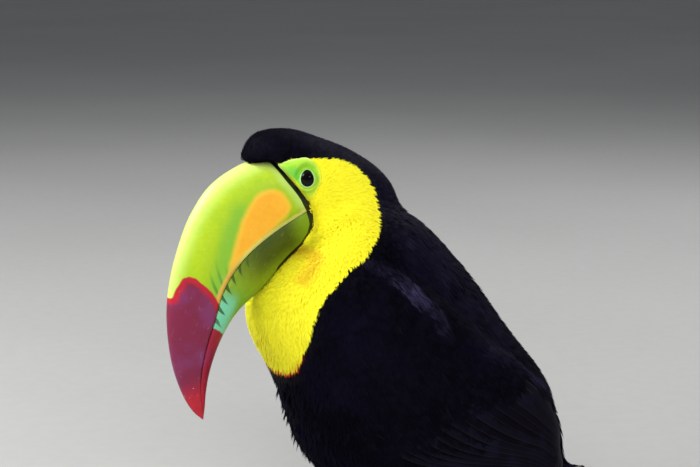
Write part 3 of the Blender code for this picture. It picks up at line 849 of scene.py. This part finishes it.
def billMaterial(name, upper):
    material, shader = newMaterial(name, Specular_IOR_Level=0.35, Coat_Weight=0.06, Coat_Roughness=0.25,
                                   Subsurface_Weight=0.06, Subsurface_Scale=0.01)
    place = objectPlace()
    gap = {key: attribute(key) for key in
           ("redGap", "blazeGap", "tealGap", "edgeRun", "edgeGap", "ridgeGap", "baseGap", "tipGap")}
    tone = mottled(place, 45.0, 420.0, 0.3)
    rag = times(minus(noise(place, 160.0, 4.0), 0.5), 0.28)
    wear = useGroup(hornWear, place, Growth=gap["tipGap"], Pitch=4.2, Scratches=0.35)
    horn = (upperHorn if upper else lowerHorn)(tone, rag, **gap)
    maroon = stepped(plus(gap["redGap"], rag), 0.16, 0.48) if upper else 0.45
    maroon = times(maroon, times(stepped(gap["tipGap"], 1.2, 2.8), 0.85))
    # purple patches on the maroon: painted sheen
    purpleSheen = times(times(stepped(noise(place, 55.0, 3.0), 0.42, 0.66), maroon), 0.75)
    red = layered(toned(tone, (0.34, 0.007, 0.019), (0.44, 0.012, 0.028)),
                  (maroon, (0.12, 0.011, 0.045)), (purpleSheen, (0.17, 0.030, 0.115)))
    nearTip = times(stepped(gap["tipGap"], 2.5, 2.0), stepped(gap["tipGap"], 1.1, 1.5))
    chips = times(stepped(noise(place, 520.0, 2.0, 0.5), 0.70, 0.73), nearTip)
    colour = layered(
        horn,
        (stepped(plus(gap["redGap"], times(rag, 0.6)), -0.05, 0.05), red),
        (stepped(plus(gap["baseGap"], times(rag, 0.12)), -0.03, 0.03), (0.006, 0.007, 0.005)),
        (times(chips, 0.7), (0.72, 0.50, 0.42)),
        (times(wear["Wear"], 0.08), (0.8, 0.8, 0.6)))
    coloured(shader, colour, stepped(tone, 0.2, 0.8, 0.36, 0.52))
    bumped(shader, wear["Height"], 0.22, 0.0003)
    return material


for name, upper, slot in (("Upper", True, "green_horn"), ("Lower", False, "olive_horn")):
    half = rolledGrid("bill" + name, bill["rows"], bill["corners"], lambda u, v: billPlace(u, v, upper))
    paintBill(half, upper)
    notchEdge(half, upper)
    finished(half, billMaterial(half.name + "Horn", upper), slot, "bill_" + name.lower())
print("bill made")


# eyes and the bare skin round them

eye = {
    "radius": 0.58,
    "gaze": (0.25, 0.46, 0.85),  # ahead, above and outwards
    "openWide": 0.345, "openHigh": 0.455, "egg": 0.14,  # half sizes of the opening, narrower above
    "lidHeight": 0.04, "lidWidth": 0.045,
    "foldOut": 0.26, "foldDepth": 0.03,  # the crease below and ahead of the eye
    "columns": 144, "rows": 48, "smoothing": 10,
    "greenest": (-0.02, -0.38),  # ahead and above: the middle of the greenest skin
}


def eyeFrame(side):
    centre = boxMiddle("eye_left" if side > 0 else "eye_right")
    gaze = unit(np.array(eye["gaze"]) * (1, 1, side)) @ headAxes
    up = unit(np.array((0, 0, 1.0)) - gaze * gaze[2])
    return centre, gaze, up, np.cross(up, gaze) * side  # the last one points ahead


def makeEye(word, side):
    centre, gaze, up, ahead = eyeFrame(side)
    bpy.ops.mesh.primitive_uv_sphere_add(segments=64, ring_count=48, radius=eye["radius"] * cm)
    made = justMade("eyeball" + word)
    local = unit(pointsOf(made))
    angle = np.degrees(np.arccos(np.clip(local[:, 2], -1, 1)))
    bulge = 1 + 0.035 * (1 - ease(angle, 15, 38))  # the clear front stands out a little
    setPoints(made, local @ np.stack((ahead, up, gaze)) * (eye["radius"] * cm * bulge)[:, None] + centre)
    inEdit(made, lambda: bpy.ops.mesh.normals_make_consistent(inside=False))
    paint(made, angle=angle, turn=np.arctan2(local[:, 1], local[:, 0]))
    finished(made, eyeLook, "eyeball", "eye_" + word.lower())


eyeLook, shader = newMaterial("eyeGloss", Specular_IOR_Level=0.08, Coat_Weight=0.20, Coat_Roughness=0.04)
angle = attribute("angle")
around = {"X": times(attribute("turn"), 9.0), "Y": times(angle, 0.05)}
rays = noise(put("ShaderNodeCombineXYZ", around).outputs[0], 1.5, 4.0)
iris = blended(stepped(rays, 0.35, 0.7), (0.002, 0.0015, 0.001), (0.010, 0.005, 0.0025))
colour = layered(
    blended(stepped(angle, 23.0, 26.0), (0.0008, 0.0008, 0.001), iris),
    (stepped(angle, 38.0, 46.0), (0.002, 0.002, 0.002)))
coloured(shader, colour, stepped(rays, 0.2, 0.8, 0.10, 0.20))

bareLook, shader = newMaterial("bareFaceSkin", Specular_IOR_Level=0.38, Subsurface_Weight=0.08,
                               Subsurface_Scale=0.006)
place = objectPlace()
tone = mottled(place, 130.0, 900.0, 0.35)
lidGap, greenGap, rimGap, above = (attribute(key) for key in ("lidGap", "greenGap", "rimGap", "above"))
folds = sine(times(plus(lidGap, times(noise(place, 260.0, 2.0), 0.09)), 95.0))
foldShare = stepped(lidGap, 0.62, 0.12)
colour = layered(
    toned(tone, (0.28, 0.56, 0.028), (0.37, 0.64, 0.040)),
    (stepped(above, -1.0, -2.0), (0.46, 0.60, 0.016)),
    (times(stepped(plus(greenGap, times(tone, 0.25)), 0.85, 0.25), 0.85), (0.12, 0.50, 0.045)),
    (times(stepped(rimGap, 0.34, 0.04), stepped(above, 0.1, -0.9)), (0.70, 0.72, 0.030)),
    (times(stepped(rimGap, 0.30, 0.05), stepped(above, -0.5, 0.1), 0.8), (0.66, 0.88, 0.20)),
    # painted shade in the troughs of the wrinkles
    (times(stepped(folds, 0.0, -1.0), foldShare, 0.07), (0.08, 0.34, 0.03)),
    # painted shade in the crease below and ahead of the eye
    (times(attribute("crease"), 0.35), (0.05, 0.26, 0.02)),
    (stepped(lidGap, 0.080, 0.055), (0.36, 0.64, 0.24)),
    (stepped(lidGap, 0.016, 0.004), (0.02, 0.04, 0.012)))
coloured(shader, colour, stepped(tone, 0.2, 0.8, 0.42, 0.60))
bumped(shader, plus(times(folds, foldShare, 0.16), times(dots(place, 1300.0), 0.6)), 0.30, 0.0003)


def eyeOpening(turn):
    wide = eye["openWide"] * (1 - eye["egg"] * np.sin(turn))
    return 1 / np.sqrt((np.cos(turn) / wide) ** 2 + (np.sin(turn) / eye["openHigh"]) ** 2)


def creaseShare(turn, out):
    # strongest below and ahead of the eye
    gone = ease(np.cos(turn + 1.0), -0.2, 0.7)
    return gone * np.exp(-((out - eyeOpening(turn) - eye["foldOut"]) / 0.07) ** 2)


def makeSurround(word, side):
    # a sheet of skin from the lids' edge out to the bare patch's outline, draped over the face
    centre, gaze, up, ahead = eyeFrame(side)
    corners = (fromHead(np.array(marks["bareSkin"]) * (1, 1, side)) - centre) / cm
    corners = np.column_stack((corners @ ahead, corners @ up))
    overlapping = np.concatenate((corners[-2:], corners, corners[:3]))
    outline = smoothLine(overlapping, np.linspace(2, len(corners) + 2, 200))
    angles, reach = np.arctan2(outline[:, 1], outline[:, 0]), sizes(outline)

    made, u, v = flatGrid("eyeSurround" + word, eye["rows"], eye["columns"])
    turn = 2 * math.pi * u - math.pi
    far = np.interp(turn, angles, reach, period=2 * math.pi)
    opening = eyeOpening(turn)
    out = opening + (far - opening) * np.clip((v - 0.02) / 0.98, 0, 1) ** 1.35
    out = np.where(v < 0.01, 0.97 * opening, out)
    flat = centre + cm * ((out * np.cos(turn))[:, None] * ahead + (out * np.sin(turn))[:, None] * up)
    hits = [topTree.ray_cast(Vector(spot + 0.02 * gaze), Vector(-gaze))[0] for spot in flat]
    height = np.array([-0.4 if hit is None else (np.array(hit) - spot) @ gaze / cm
                       for hit, spot in zip(hits, flat)])
    sheet = height.reshape(eye["rows"] + 1, eye["columns"] + 1)
    for _ in range(eye["smoothing"]):
        sheet[1:-1] += 0.5 * ((sheet[2:] + sheet[:-2]) / 2 - sheet[1:-1])
        sheet[:, :] += 0.5 * ((np.roll(sheet, 1, 1) + np.roll(sheet, -1, 1)) / 2 - sheet)
    height = sheet.ravel()
    sunk = 0.16 * ease(v, 0.93, 1.0) + 0.09 * ease(v, 0.66, 0.98) * ease(np.cos(turn), 0.3, -0.3)
    onFace = height - 0.02 - sunk - eye["foldDepth"] * creaseShare(turn, out)
    ball = np.sqrt(np.maximum(eye["radius"] ** 2 - np.minimum(out, 0.55) ** 2, 0))
    lid = ball + 0.03 + eye["lidHeight"] * np.exp(-((out - opening - 0.045) / eye["lidWidth"]) ** 2)
    share = ease(out - opening, 0.08, 0.42)
    lifted = lid * (1 - share) + onFace * share
    clear = 1.04 * eye["radius"]
    over = np.where(out < clear, np.sqrt(np.maximum(clear**2 - out**2, 0)) + 0.012, -1.0)
    lifted = np.where(v < 0.01, ball - 0.03, np.maximum(lifted, over))
    setPoints(made, flat + cm * lifted[:, None] * gaze)
    seen = toHead(pointsOf(made))
    paint(made, lidGap=out - opening, rimGap=(1 - v) * far, above=seen[:, 1],
          crease=creaseShare(turn, out), greenGap=sizes(seen[:, :2] - np.array(eye["greenest"])))
    inEdit(made, lambda: bpy.ops.mesh.remove_doubles(threshold=0.000005))
    if (normalsOf(made) @ gaze).mean() < 0:
        inEdit(made, lambda: bpy.ops.mesh.flip_normals())
    finished(made, bareLook, "green_horn")


for make in (makeEye, makeSurround):
    make("Left", 1)
    make("Right", -1)
print("eyes made")


# feet and claws, in metres

feet = {
    "voxel": 0.0006, "swell": 0.0003,
    "scutePitch": 0.0024, "scuteRise": 0.00013,
    "padPitch": 0.0085, "padRise": 0.00055, "jointDip": 0.0004,
}
toeNames = ("front_outer", "front_inner", "back_outer", "back_inner")

footLook, shader = newMaterial("footSkin", Specular_IOR_Level=0.4, Coat_Weight=0.08, Coat_Roughness=0.4)
place = objectPlace()
tone = mottled(place, 160.0, 900.0, 0.4)
scute = maths("FRACT", times(attribute("reach"), 1 / feet["scutePitch"]))
groove = stepped(absolute(minus(scute, 0.5)), 0.36, 0.5)
colour = layered(
    toned(tone, (0.075, 0.125, 0.19), (0.14, 0.21, 0.28)),
    (stepped(noise(place, 95.0, 2.0), 0.5, 0.72), (0.10, 0.13, 0.15)),
    (times(groove, 0.45), (0.040, 0.065, 0.10)))
coloured(shader, colour, stepped(tone, 0.2, 0.8, 0.42, 0.62))
bumped(shader, minus(times(dots(place, 620.0), 0.35), groove), 0.5, 0.0004)

clawLook, shader = newMaterial("clawHorn", Specular_IOR_Level=0.5, Coat_Weight=0.2, Coat_Roughness=0.25)
place = objectPlace()
tone = mottled(place, 240.0, 1500.0, 0.4)
colour = toned(tone, (0.012, 0.011, 0.012), (0.055, 0.048, 0.045))
coloured(shader, colour, stepped(tone, 0.2, 0.8, 0.28, 0.45))
bumped(shader, useGroup(hornWear, place, Pitch=6.0, Scratches=0.6)["Height"], 0.3, 0.0002)

for word in ("left", "right"):
    toes, claws = (["%s_%s_%s" % (kind, word, name) for name in toeNames] for kind in ("toe", "claw"))
    foot = joinedCopy("foot" + word.title(), ["tarsus_" + word] + toes, feet["swell"])
    applied(foot, "REMESH", mode="VOXEL", voxel_size=feet["voxel"])
    applied(foot, "SMOOTH", factor=0.5, iterations=6)
    points, outwards = pointsOf(foot), normalsOf(foot)
    low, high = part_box("tarsus_" + word)
    joint = np.array(((low.x + high.x) / 2, low.y + 0.004, 0.006))
    reach = sizes(points - joint)
    upwards = outwards[:, 2]
    scuteTurn, padTurn = (math.pi * reach / feet[pitch] for pitch in ("scutePitch", "padPitch"))
    scutes = feet["scuteRise"] * np.abs(np.sin(scuteTurn)) ** 0.5 * ease(upwards, -0.4, 0.3)
    pads = feet["padRise"] * np.sin(padTurn) ** 2 * ease(upwards, 0.6, -0.2)
    pads = pads - feet["jointDip"] * ease(upwards, 0.0, 0.9) * np.cos(padTurn) ** 2
    setPoints(foot, points + outwards * (scutes + pads * ease(points[:, 2], 0.016, 0.010))[:, None])
    aboveFloor(foot)
    paint(foot, reach=reach)
    finished(foot, footLook, "blue_skin", "tarsus_" + word, *toes)
    clawSet = joinedCopy("claws" + word.title(), claws)
    applied(clawSet, "SUBSURF", levels=2, render_levels=2)
    aboveFloor(clawSet)
    finished(clawSet, clawLook, "dark_horn", *claws)
print("feet made")


# feathers as tufts of barbs, laid over the skin

skin.data.calc_loop_triangles()
triangles = skin.data.loop_triangles
topTriangles, corners = (readFrom(triangles, key, 3, np.int64) for key in ("vertices", "loops"))
topPatches = readFrom(skin.data.uv_layers["OFBake"].data, "uv", 2)[corners]
topWays = unit(spread(lieAt(coatTop), 150))
faceNormals = unit(np.array([coatNormals[face].mean(0) for face in faces]))
faceWays = unit(np.array([topWays[face].mean(0) for face in faces]))
faceDepths = np.array([depth[face].mean() for face in faces])
sides = coatTop[topTriangles]
topAreas = 0.5 * sizes(np.cross(sides[:, 1] - sides[:, 0], sides[:, 2] - sides[:, 0]))


tuft = {
    "tries": 5, "cell": 1.12,  # roots tried for each one kept, and the cell that keeps one, in spacings
    "lengths": (0.85, 1.15), "widths": (0.88, 1.12), "barbWidths": (0.8, 1.2),  # shares of the given sizes
    "strips": (0, 0.35, 0.7, 1.0), "stripWidths": (0.6, 1.0, 0.78, 0.0),  # widths along a barb
    "fan": 0.06, "reach": 0.05, "bend": 0.05, "rise": 0.006,  # how much the barbs differ
    "colouredAt": 0.78,  # the share of its length where a tuft takes its markings
    "patch": 0.003,  # its size on the map
}


def roots(keep, spacing):
    # evenly strewn places on the coat's top where keep is true, with their map places
    inside = keep[topTriangles].any(1)
    share = np.where(inside, topAreas, 0)
    count = int(share.sum() / (spacing * cm) ** 2 * tuft["tries"])
    chosen = chance.choice(len(share), count, p=share / share.sum())
    first, second = chance.random(count), chance.random(count)
    flip = first + second > 1
    first, second = np.where(flip, 1 - first, first), np.where(flip, 1 - second, second)
    weights = np.column_stack((1 - first - second, first, second))[:, :, None]
    places = (coatTop[topTriangles[chosen]] * weights).sum(1)
    cells = np.floor(places / (spacing * cm * tuft["cell"])).astype(np.int64)
    _, kept = np.unique(cells @ np.array((1, 4096, 4096 * 4096)), return_index=True)
    return places[kept], (topPatches[chosen] * weights).sum(1)[kept]


def onTop(points):
    found = [topTree.find_nearest(Vector(point)) for point in points]
    numbers = np.array([hit[2] for hit in found])
    return np.array([hit[0] for hit in found]), numbers


def follow(places, lengths, steps, stray):
    # walks each feather's midline over the coat's top
    spots, numbers = onTop(places)
    trail, normals, depths = [spots], [faceNormals[numbers]], [faceDepths[numbers]]
    turn = chance.normal(0, stray, len(places))
    for _ in range(steps - 1):
        normal = normals[-1]
        way = faceWays[numbers]
        way = unit(way - normal * (way * normal).sum(1, keepdims=True))
        way = way * np.cos(turn)[:, None] + np.cross(normal, way) * np.sin(turn)[:, None]
        spots, numbers = onTop(trail[-1] + way * (lengths * cm / (steps - 1))[:, None])
        trail.append(spots)
        normals.append(faceNormals[numbers])
        depths.append(faceDepths[numbers])
    return np.stack(trail, 1), np.stack(normals, 1), np.stack(depths, 1)


def along(values, shares):
    # values of each feather's walk at shares of its length
    last = values.shape[1] - 1
    place = np.clip(shares, 0, 1) * last
    start = np.minimum(place.astype(int), last - 1)
    share = place - start
    rows = np.arange(len(values)).reshape((-1,) + (1,) * (shares.ndim - 1))
    here, there = values[rows, start], values[rows, start + 1]
    if values.ndim == 3:
        share = share[..., None]
    return here + (there - here) * share


def layTufts(name, places, patches, bright, length, width, barbs, steps, stray, lift, ruffle, softness):
    # each tuft is a fan of tapering strips from one root, rising from the skin to the coat's top
    count = len(places)
    lengths = length * chance.uniform(*tuft["lengths"], count)
    widths = width * chance.uniform(*tuft["widths"], count)[:, None, None]
    trail, normals, depths = follow(places, lengths, steps, stray)
    each = (count, barbs, 1)
    across = np.linspace(-1, 1, barbs)[None, :, None] + chance.normal(0, tuft["fan"], each)
    q = np.array(tuft["strips"])
    t = q * (1 - 0.24 * across**2 + chance.normal(0, tuft["reach"], each))
    side = across * widths * (1 - (1 - q) ** 2.2) * (1 - 0.28 * q**3) / 2
    side = side + chance.normal(0, tuft["bend"], each) * widths * q**2
    spot, normal, deep = along(trail, t), along(normals, t), along(depths, t)
    ahead = unit(along(trail, np.minimum(t + 0.12, 1.0)) - along(trail, np.minimum(t + 0.12, 1.0) - 0.12))
    left = unit(np.cross(normal, ahead))
    tipLift = chance.normal(lift, 0.35 * abs(lift) + 0.004, (count, 1, 1))
    tipLift = tipLift + chance.normal(0, tuft["rise"], each)
    height = tipLift * q**2 - deep * (1 - np.clip(t, 0, 1) ** 0.75) - 0.05 * widths * across**2
    height = height - 0.02 * (1 - q)
    spot = spot + cm * side[..., None] * left + cm * height[..., None] * normal
    half = widths / barbs * 0.72 * np.array(tuft["stripWidths"])
    half = half * chance.uniform(*tuft["barbWidths"], each)
    twist = chance.normal(0, ruffle, each)[..., None]
    edge = cm * half[..., None] * (left * np.cos(twist) + normal * np.sin(twist))
    rows = len(q)
    size = 2 * rows - 1

    def paired(values):
        # the same value on both edges of each strip, and once on its tip
        values = np.broadcast_to(values, (count, barbs, rows) + np.shape(values)[3:])
        return np.concatenate((np.repeat(values[:, :, :-1], 2, axis=2), values[:, :, -1:]), axis=2)

    points = paired(spot)
    points[:, :, 0:-1:2] -= edge[:, :, :-1]
    points[:, :, 1:-1:2] += edge[:, :, :-1]
    points[..., 2] = np.maximum(points[..., 2], 0)
    pattern = [(size - 3, size - 1, size - 2)]
    for row in range(0, size - 3, 2):
        pattern += [(row, row + 2, row + 3), (row, row + 3, row + 1)]
    triangles = (np.arange(count * barbs)[:, None, None] * size + np.array(pattern)[None]).reshape(-1, 3)
    shareAlong, shareAcross = paired(t), paired(across)
    tone = 0.7 * chance.uniform(0, 1, (count, 1, 1)) + 0.3 * chance.uniform(0, 1, each)
    values = {"along": shareAlong, "across": shareAcross, "tone": paired(tone)}
    shown = along(trail, np.full((count, 1), tuft["colouredAt"]))[:, 0]
    values.update({key: paired(value[:, None, None]) for key, value in markings(shown).items()})
    patch = tuft["patch"] * np.stack((shareAlong - 0.5, 0.45 * shareAcross), axis=3)
    patch = patch + patches[:, None, None, :]
    made = arrayMesh(name, points, triangles, {key: value.ravel() for key, value in values.items()},
                     patch.reshape(-1, 2))
    own = unit(normal * np.cos(twist) - left * np.sin(twist))
    soft = paired(unit(softness * normal + (1 - softness) * own))
    made.data.normals_split_custom_set_from_vertices(soft.reshape(-1, 3))
    made.data.materials.append(brightPlumage if bright else blackPlumage)
    pieces.append(made)
    print("%s: %d tufts, %d triangles" % (name, count, len(triangles)))


limits = {
    # where one kind of feather gives way to the next
    "billGap": 0.10, "bareInset": 0.17, "collarGap": 0.9,  # centimetres from the bill, bare skin and yellow
    "billTop": 0.55, "cheekFoot": -6.4,  # centimetres above the culmen's base
    "ventTop": 0.05, "breast": (0.025, 0.085),  # metres above the floor
    "lastCovert": 7.2,  # counted in body sections
    "backward": 0.15, "forward": -0.35,  # of the coat's normals
}
inFace = seenMarks["yellow"] > 0.5
isBlack = ~inFace
coatHeight = coatTop[:, 2]
breastFoot, breastTop = limits["breast"]
onHead = isZone["head"] | isZone["eye"]
atBill = isZone["bill"] | (onHead & (billGap < limits["billGap"]) & (headPlace[:, 1] < limits["billTop"]))
bareNow = atBill | (bareGap > np.where(isBlack | (headPlace[:, 1] > -0.2), 0.0, limits["bareInset"]))
onTrunk = isZone["trunk"] | isZone["neck"] | (isZone["wing"] & inFace)
isBack = onTrunk & (coatNormals[:, 1] * 0.8 + coatNormals[:, 2] * 0.6 > limits["backward"])
isRump = seenMarks["white"] > 0.5
isVent = (seenMarks["red"] > 0.5) & (coatHeight < limits["ventTop"])
nearYellow = edgeDistance(headPlace[:, :2], marks["yellow"]) > -limits["collarGap"]
isCollar = (onTrunk | isZone["wing"]) & isBlack & nearYellow & (coatHeight > breastTop)
isCheek = inFace & ~bareNow & (onHead | (onTrunk & (headPlace[:, 1] > limits["cheekFoot"])))
isFront = isZone["trunk"] & isBlack & (coatNormals[:, 1] < limits["forward"])
isFront = isFront & (coatHeight > breastFoot) & (coatHeight < breastTop)
isPlain = onTrunk & isBlack & ~isCollar
isCovert = isZone["wing"] & isBlack & ~isCollar & (sectionAt < limits["lastCovert"])
isBib = onTrunk & inFace & ~isCheek & ~bareNow
onLeft, onRight = coatTop[:, 0] > 0, coatTop[:, 0] < 0
print("coat ready to lay")

coat = [
    # name, where, spacing, bright or black, length, width, barbs, steps, stray, lift, ruffle, softness
    ("collarTufts", isCollar, 0.16, False, 0.95, 0.42, 7, 4, 0.12, 0.02, 0.3, 0.8),
    ("faceTufts", isCheek, 0.099, True, 0.46, 0.17, 5, 3, 0.09, 0.006, 0.16, 0.92),
    ("crownTufts", onHead & isBlack & ~bareNow, 0.13, False, 0.70, 0.28, 6, 4, 0.10, 0.012, 0.22, 0.85),
    ("bibTufts", isBib, 0.118, True, 0.66, 0.24, 6, 4, 0.09, 0.008, 0.18, 0.92),
    ("mantleFeathers", isPlain & isBack & ~isRump, 0.27, False, 1.9, 1.0, 9, 5, 0.09, 0.02, 0.25, 0.65),
    ("breastFeathers", isPlain & ~isBack & ~isVent, 0.27, False, 2.0, 1.0, 9, 5, 0.14, 0.045, 0.35, 0.65),
    ("breastWisps", isFront, 0.55, False, 1.4, 0.45, 5, 5, 0.35, 0.24, 0.6, 0.65),
    ("ventFeathers", onTrunk & isVent, 0.22, True, 1.5, 0.7, 8, 5, 0.12, 0.01, 0.3, 0.65),
    ("rumpFeathers", onTrunk & isRump, 0.22, True, 1.6, 0.8, 8, 5, 0.1, 0.01, 0.3, 0.65),
    ("thighFeathers", isZone["thigh"], 0.22, False, 1.1, 0.6, 8, 5, 0.14, 0.01, 0.35, 0.65),
    ("wingCovertsLeft", isCovert & onLeft, 0.25, False, 1.6, 0.95, 9, 5, 0.07, 0.02, 0.18, 0.65),
    ("wingCovertsRight", isCovert & onRight, 0.25, False, 1.6, 0.95, 9, 5, 0.07, 0.02, 0.18, 0.65),
]
for name, where, spacing, *shape in coat:
    layTufts(name, *roots(where, spacing), *shape)


# flight and tail feathers as long closed vanes

vanes = {
    "wingEdges": [(1.75, 14, -6, 0.14), (2.05, 28, -24, 0.36), (2.90, 38, -32, 0.52),
                  (4.40, 52, -33, 0.60), (6.00, 64, -24, 0.60), (7.50, 72, -8, 0.54),
                  (8.80, 74, 12, 0.44), (9.55, 62, 36, 0.26)],
    # quills from the lowest to the topmost: the sections where they start and end, and their lanes' range
    "quills": 15, "quillStarts": (4.6, 5.1), "quillEnds": (7.9, 9.45), "lanes": (0.10, 0.92),
    "quillWidth": 1.25, "quillThickness": 0.055, "quillTip": 0.13,
    "tail": [(3.46, 1.5, 2.2, 1.7), (5.26, 0.7, 1.5, 2.15), (6.86, 0.12, 1.1, 2.4), (8.46, 0, 0.95, 2.55),
             (12.06, 0, 0.75, 2.8), (15.56, 0, 0.62, 2.9), (18.06, 0, 0.50, 2.5), (19.26, 0, 0.36, 1.5)],
    "tailPairs": 5, "tailRoot": 3.7, "tailEnd": 19.2,
    "tailWidth": 2.0, "tailThickness": 0.06, "tailTip": 0.09,
}

vaneLook, shader = newMaterial("vaneBlack", Specular_IOR_Level=0.03, Sheen_Weight=0.012,
                               Sheen_Roughness=0.3, Sheen_Tint=(0.35, 0.40, 0.9, 1))
place = objectPlace()
fromShaft = absolute(attribute("across"))
barbLines = sine(plus(times(attribute("along"), 260.0), times(fromShaft, -26.0)))
shaft = stepped(fromShaft, 0.10, 0.04)
colour = layered(
    blended(attribute("tone"), (0.0018, 0.0015, 0.0032), (0.0042, 0.0036, 0.0080)),
    (stepped(noise(place, 70.0), 0.45, 0.75), (0.0050, 0.0045, 0.0120)),
    (times(stepped(fromShaft, 0.86, 1.0), 0.35), (0.020, 0.015, 0.013)),
    (shaft, (0.010, 0.008, 0.010)))
coloured(shader, colour, stepped(mottled(place, 150.0, 1200.0, 0.5), 0.3, 0.7, 0.42, 0.60))
bumped(shader, plus(times(barbLines, 0.4), times(shaft, 1.5)), 0.25, 0.0002)


def makeVane(midline, normal, fullWidth, tip, thickness, tilt, rows, corners):
    # midline(v) and normal(v) carry a thin closed lens with a shaft along its middle and a rounded tip
    def lens(u, v):
        turn = 2 * math.pi * u
        spot, out = midline(v), normal(v)
        ahead = unit(midline(np.minimum(v + 0.02, 1.0)) - midline(np.minimum(v + 0.02, 1.0) - 0.02))
        left = unit(np.cross(out, ahead))
        across = np.cos(turn)
        rounded = np.sqrt(np.clip(1 - np.clip((v - (1 - tip)) / tip, 0, 1) ** 2, 0, 1))
        width = 0.5 * fullWidth * ease(v + 0.25, 0, 0.45) * rounded
        shaft = 0.5 * np.exp(-(across / 0.09) ** 2) * (1 - v)
        camber = 0.10 * width * (1 - across**2)
        height = 0.5 * thickness * np.sin(turn) * (1 - 0.6 * across**2 + shaft)
        height = height + camber + tilt * width * across
        return spot + cm * (across * width)[:, None] * left + cm * height[:, None] * out

    tone = chance.random()
    made = rolledGrid("vane", rows, corners, lens)
    paint(made, tone=tone)
    return made


def wingEdges(section):
    table = np.array(vanes["wingEdges"], float)
    places = np.interp(section, table[:, 0], np.arange(len(table)))
    return smoothLine(vanes["wingEdges"], places)


def makeQuills(word, sign):
    quills = []
    for number in range(vanes["quills"]):
        share = number / (vanes["quills"] - 1)
        start, lane = (np.interp(share, (0, 1), vanes[key]) for key in ("quillStarts", "lanes"))
        end = np.interp(share**0.55, (0, 1), vanes["quillEnds"])

        def spotAt(v, extra=0.0):
            section = start + (end - start) * v
            edge = wingEdges(section)
            degrees = edge[:, 1] + (edge[:, 2] - edge[:, 1]) * lane
            height = edge[:, 3] * np.sin(math.pi * np.clip(lane, 0.08, 0.92)) ** 0.6
            height = height - 0.14 - 0.10 * share + extra
            return bodyPlace(section, degrees if sign > 0 else 180 - degrees, height)

        def outAt(v):
            return unit(spotAt(v, extra=0.2) - spotAt(v))

        width = vanes["quillWidth"] * (1.1 - 0.25 * share)
        quills.append(makeVane(spotAt, outAt, width, vanes["quillTip"], vanes["quillThickness"],
                               -0.10 * sign, 40, 22))
    joinVanes("wingQuills" + word, quills)


def joinVanes(name, feathers, *nodes):
    made = joined(name, feathers)
    aboveFloor(made)
    finished(made, vaneLook, "black_plumage", *nodes)


def upAt(v):
    return np.tile((0, 0, 1.0), (len(v), 1))


def makeTail():
    table = np.array(vanes["tail"], float)
    rectrices = []
    for pair in range(vanes["tailPairs"]):
        for sign in (1, -1):
            start = vanes["tailRoot"] + 0.25 * pair
            end = vanes["tailEnd"] - 0.10 * pair - 0.06 * pair**2
            drift = 0.20 + 0.36 * pair

            def spotAt(v):
                y = start + (end - start) * v
                low, high, half = (np.interp(y, table[:, 0], table[:, column]) for column in (1, 2, 3))
                spreadOut = 0.45 + 0.55 * ease(v, 0.0, 0.8)
                z = low + 0.06 + (high - low - 0.16) * (1 - pair / 4.6) + 0.012 * (sign < 0)
                return cm * np.column_stack((sign * drift * spreadOut, y, z))

            rectrices.append(makeVane(spotAt, upAt, vanes["tailWidth"], vanes["tailTip"],
                                      vanes["tailThickness"], -0.03 * sign * pair, 46, 26))
    joinVanes("tailFeathers", rectrices, "tail")


makeQuills("Left", 1)
makeQuills("Right", -1)
makeTail()
print("vanes made")

for piece in pieces:
    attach(piece, "root")


# studio: floor, lights and camera

studio = {
    "lights": [
        # name, place, aim, size, watts, whether it shows in glossy surfaces
        ("key", (-0.15, -1.35, 1.35), (0, -0.08, 0.15), 0.7, 37, True),
        ("front", (1.5, -0.3, 0.9), (0, -0.08, 0.14), 1.5, 30, False),
        ("fill", (0.5, -1.3, 0.45), (0, -0.1, 0.12), 1.0, 5, False),
        ("window", (1.35, 0.55, 1.15), (0, -0.1, 0.2), 0.3, 3, True),
        ("rim", (-0.9, 0.9, 1.2), (0, 0, 0.15), 0.8, 12, True),
        ("under", (0.9, 1.2, 0.5), (0, 0, 0.12), 1.0, 2, False),
    ],
    "world": 0.22,
    "camera": (0.9794, -0.1924, 0.3377), "aim": (0, -0.0894, 0.164), "lens": 91.5,
}
floorLook, shader = newMaterial("paleFloor", Roughness=0.75, Specular_IOR_Level=0.2)
tone = mottled(objectPlace(), 1.5, 90.0, 0.3)
feed(shader.inputs["Base Color"], toned(tone, (0.34, 0.34, 0.33), (0.37, 0.37, 0.36)))
bpy.ops.mesh.primitive_plane_add(size=14)
floor = bpy.context.object
floor.name = "floor"
floor.data.materials.append(floorLook)
for name, place, aim, size, watts, glossy in studio["lights"]:
    bpy.ops.object.light_add(type="AREA", location=place)
    lamp = bpy.context.object
    lamp.name = name
    lamp.data.energy, lamp.data.size = watts, size
    lamp.visible_glossy = glossy
    lamp.rotation_euler = (Vector(aim) - Vector(place)).to_track_quat("-Z", "Y").to_euler()
world = bpy.data.worlds.new("studio")
bpy.context.scene.world = world
world.use_nodes = True
sky = world.node_tree.nodes["Background"].inputs
sky["Color"].default_value = (0.9, 0.94, 1.0, 1)
sky["Strength"].default_value = studio["world"]
bpy.ops.object.camera_add(location=studio["camera"])
camera = bpy.context.object
camera.data.lens = studio["lens"]
camera.data.sensor_width = 36
camera.rotation_euler = (Vector(studio["aim"]) - camera.location).to_track_quat("-Z", "Y").to_euler()
bpy.context.scene.camera = camera
bpy.context.scene.view_settings.view_transform = "Standard"
print("stage set")
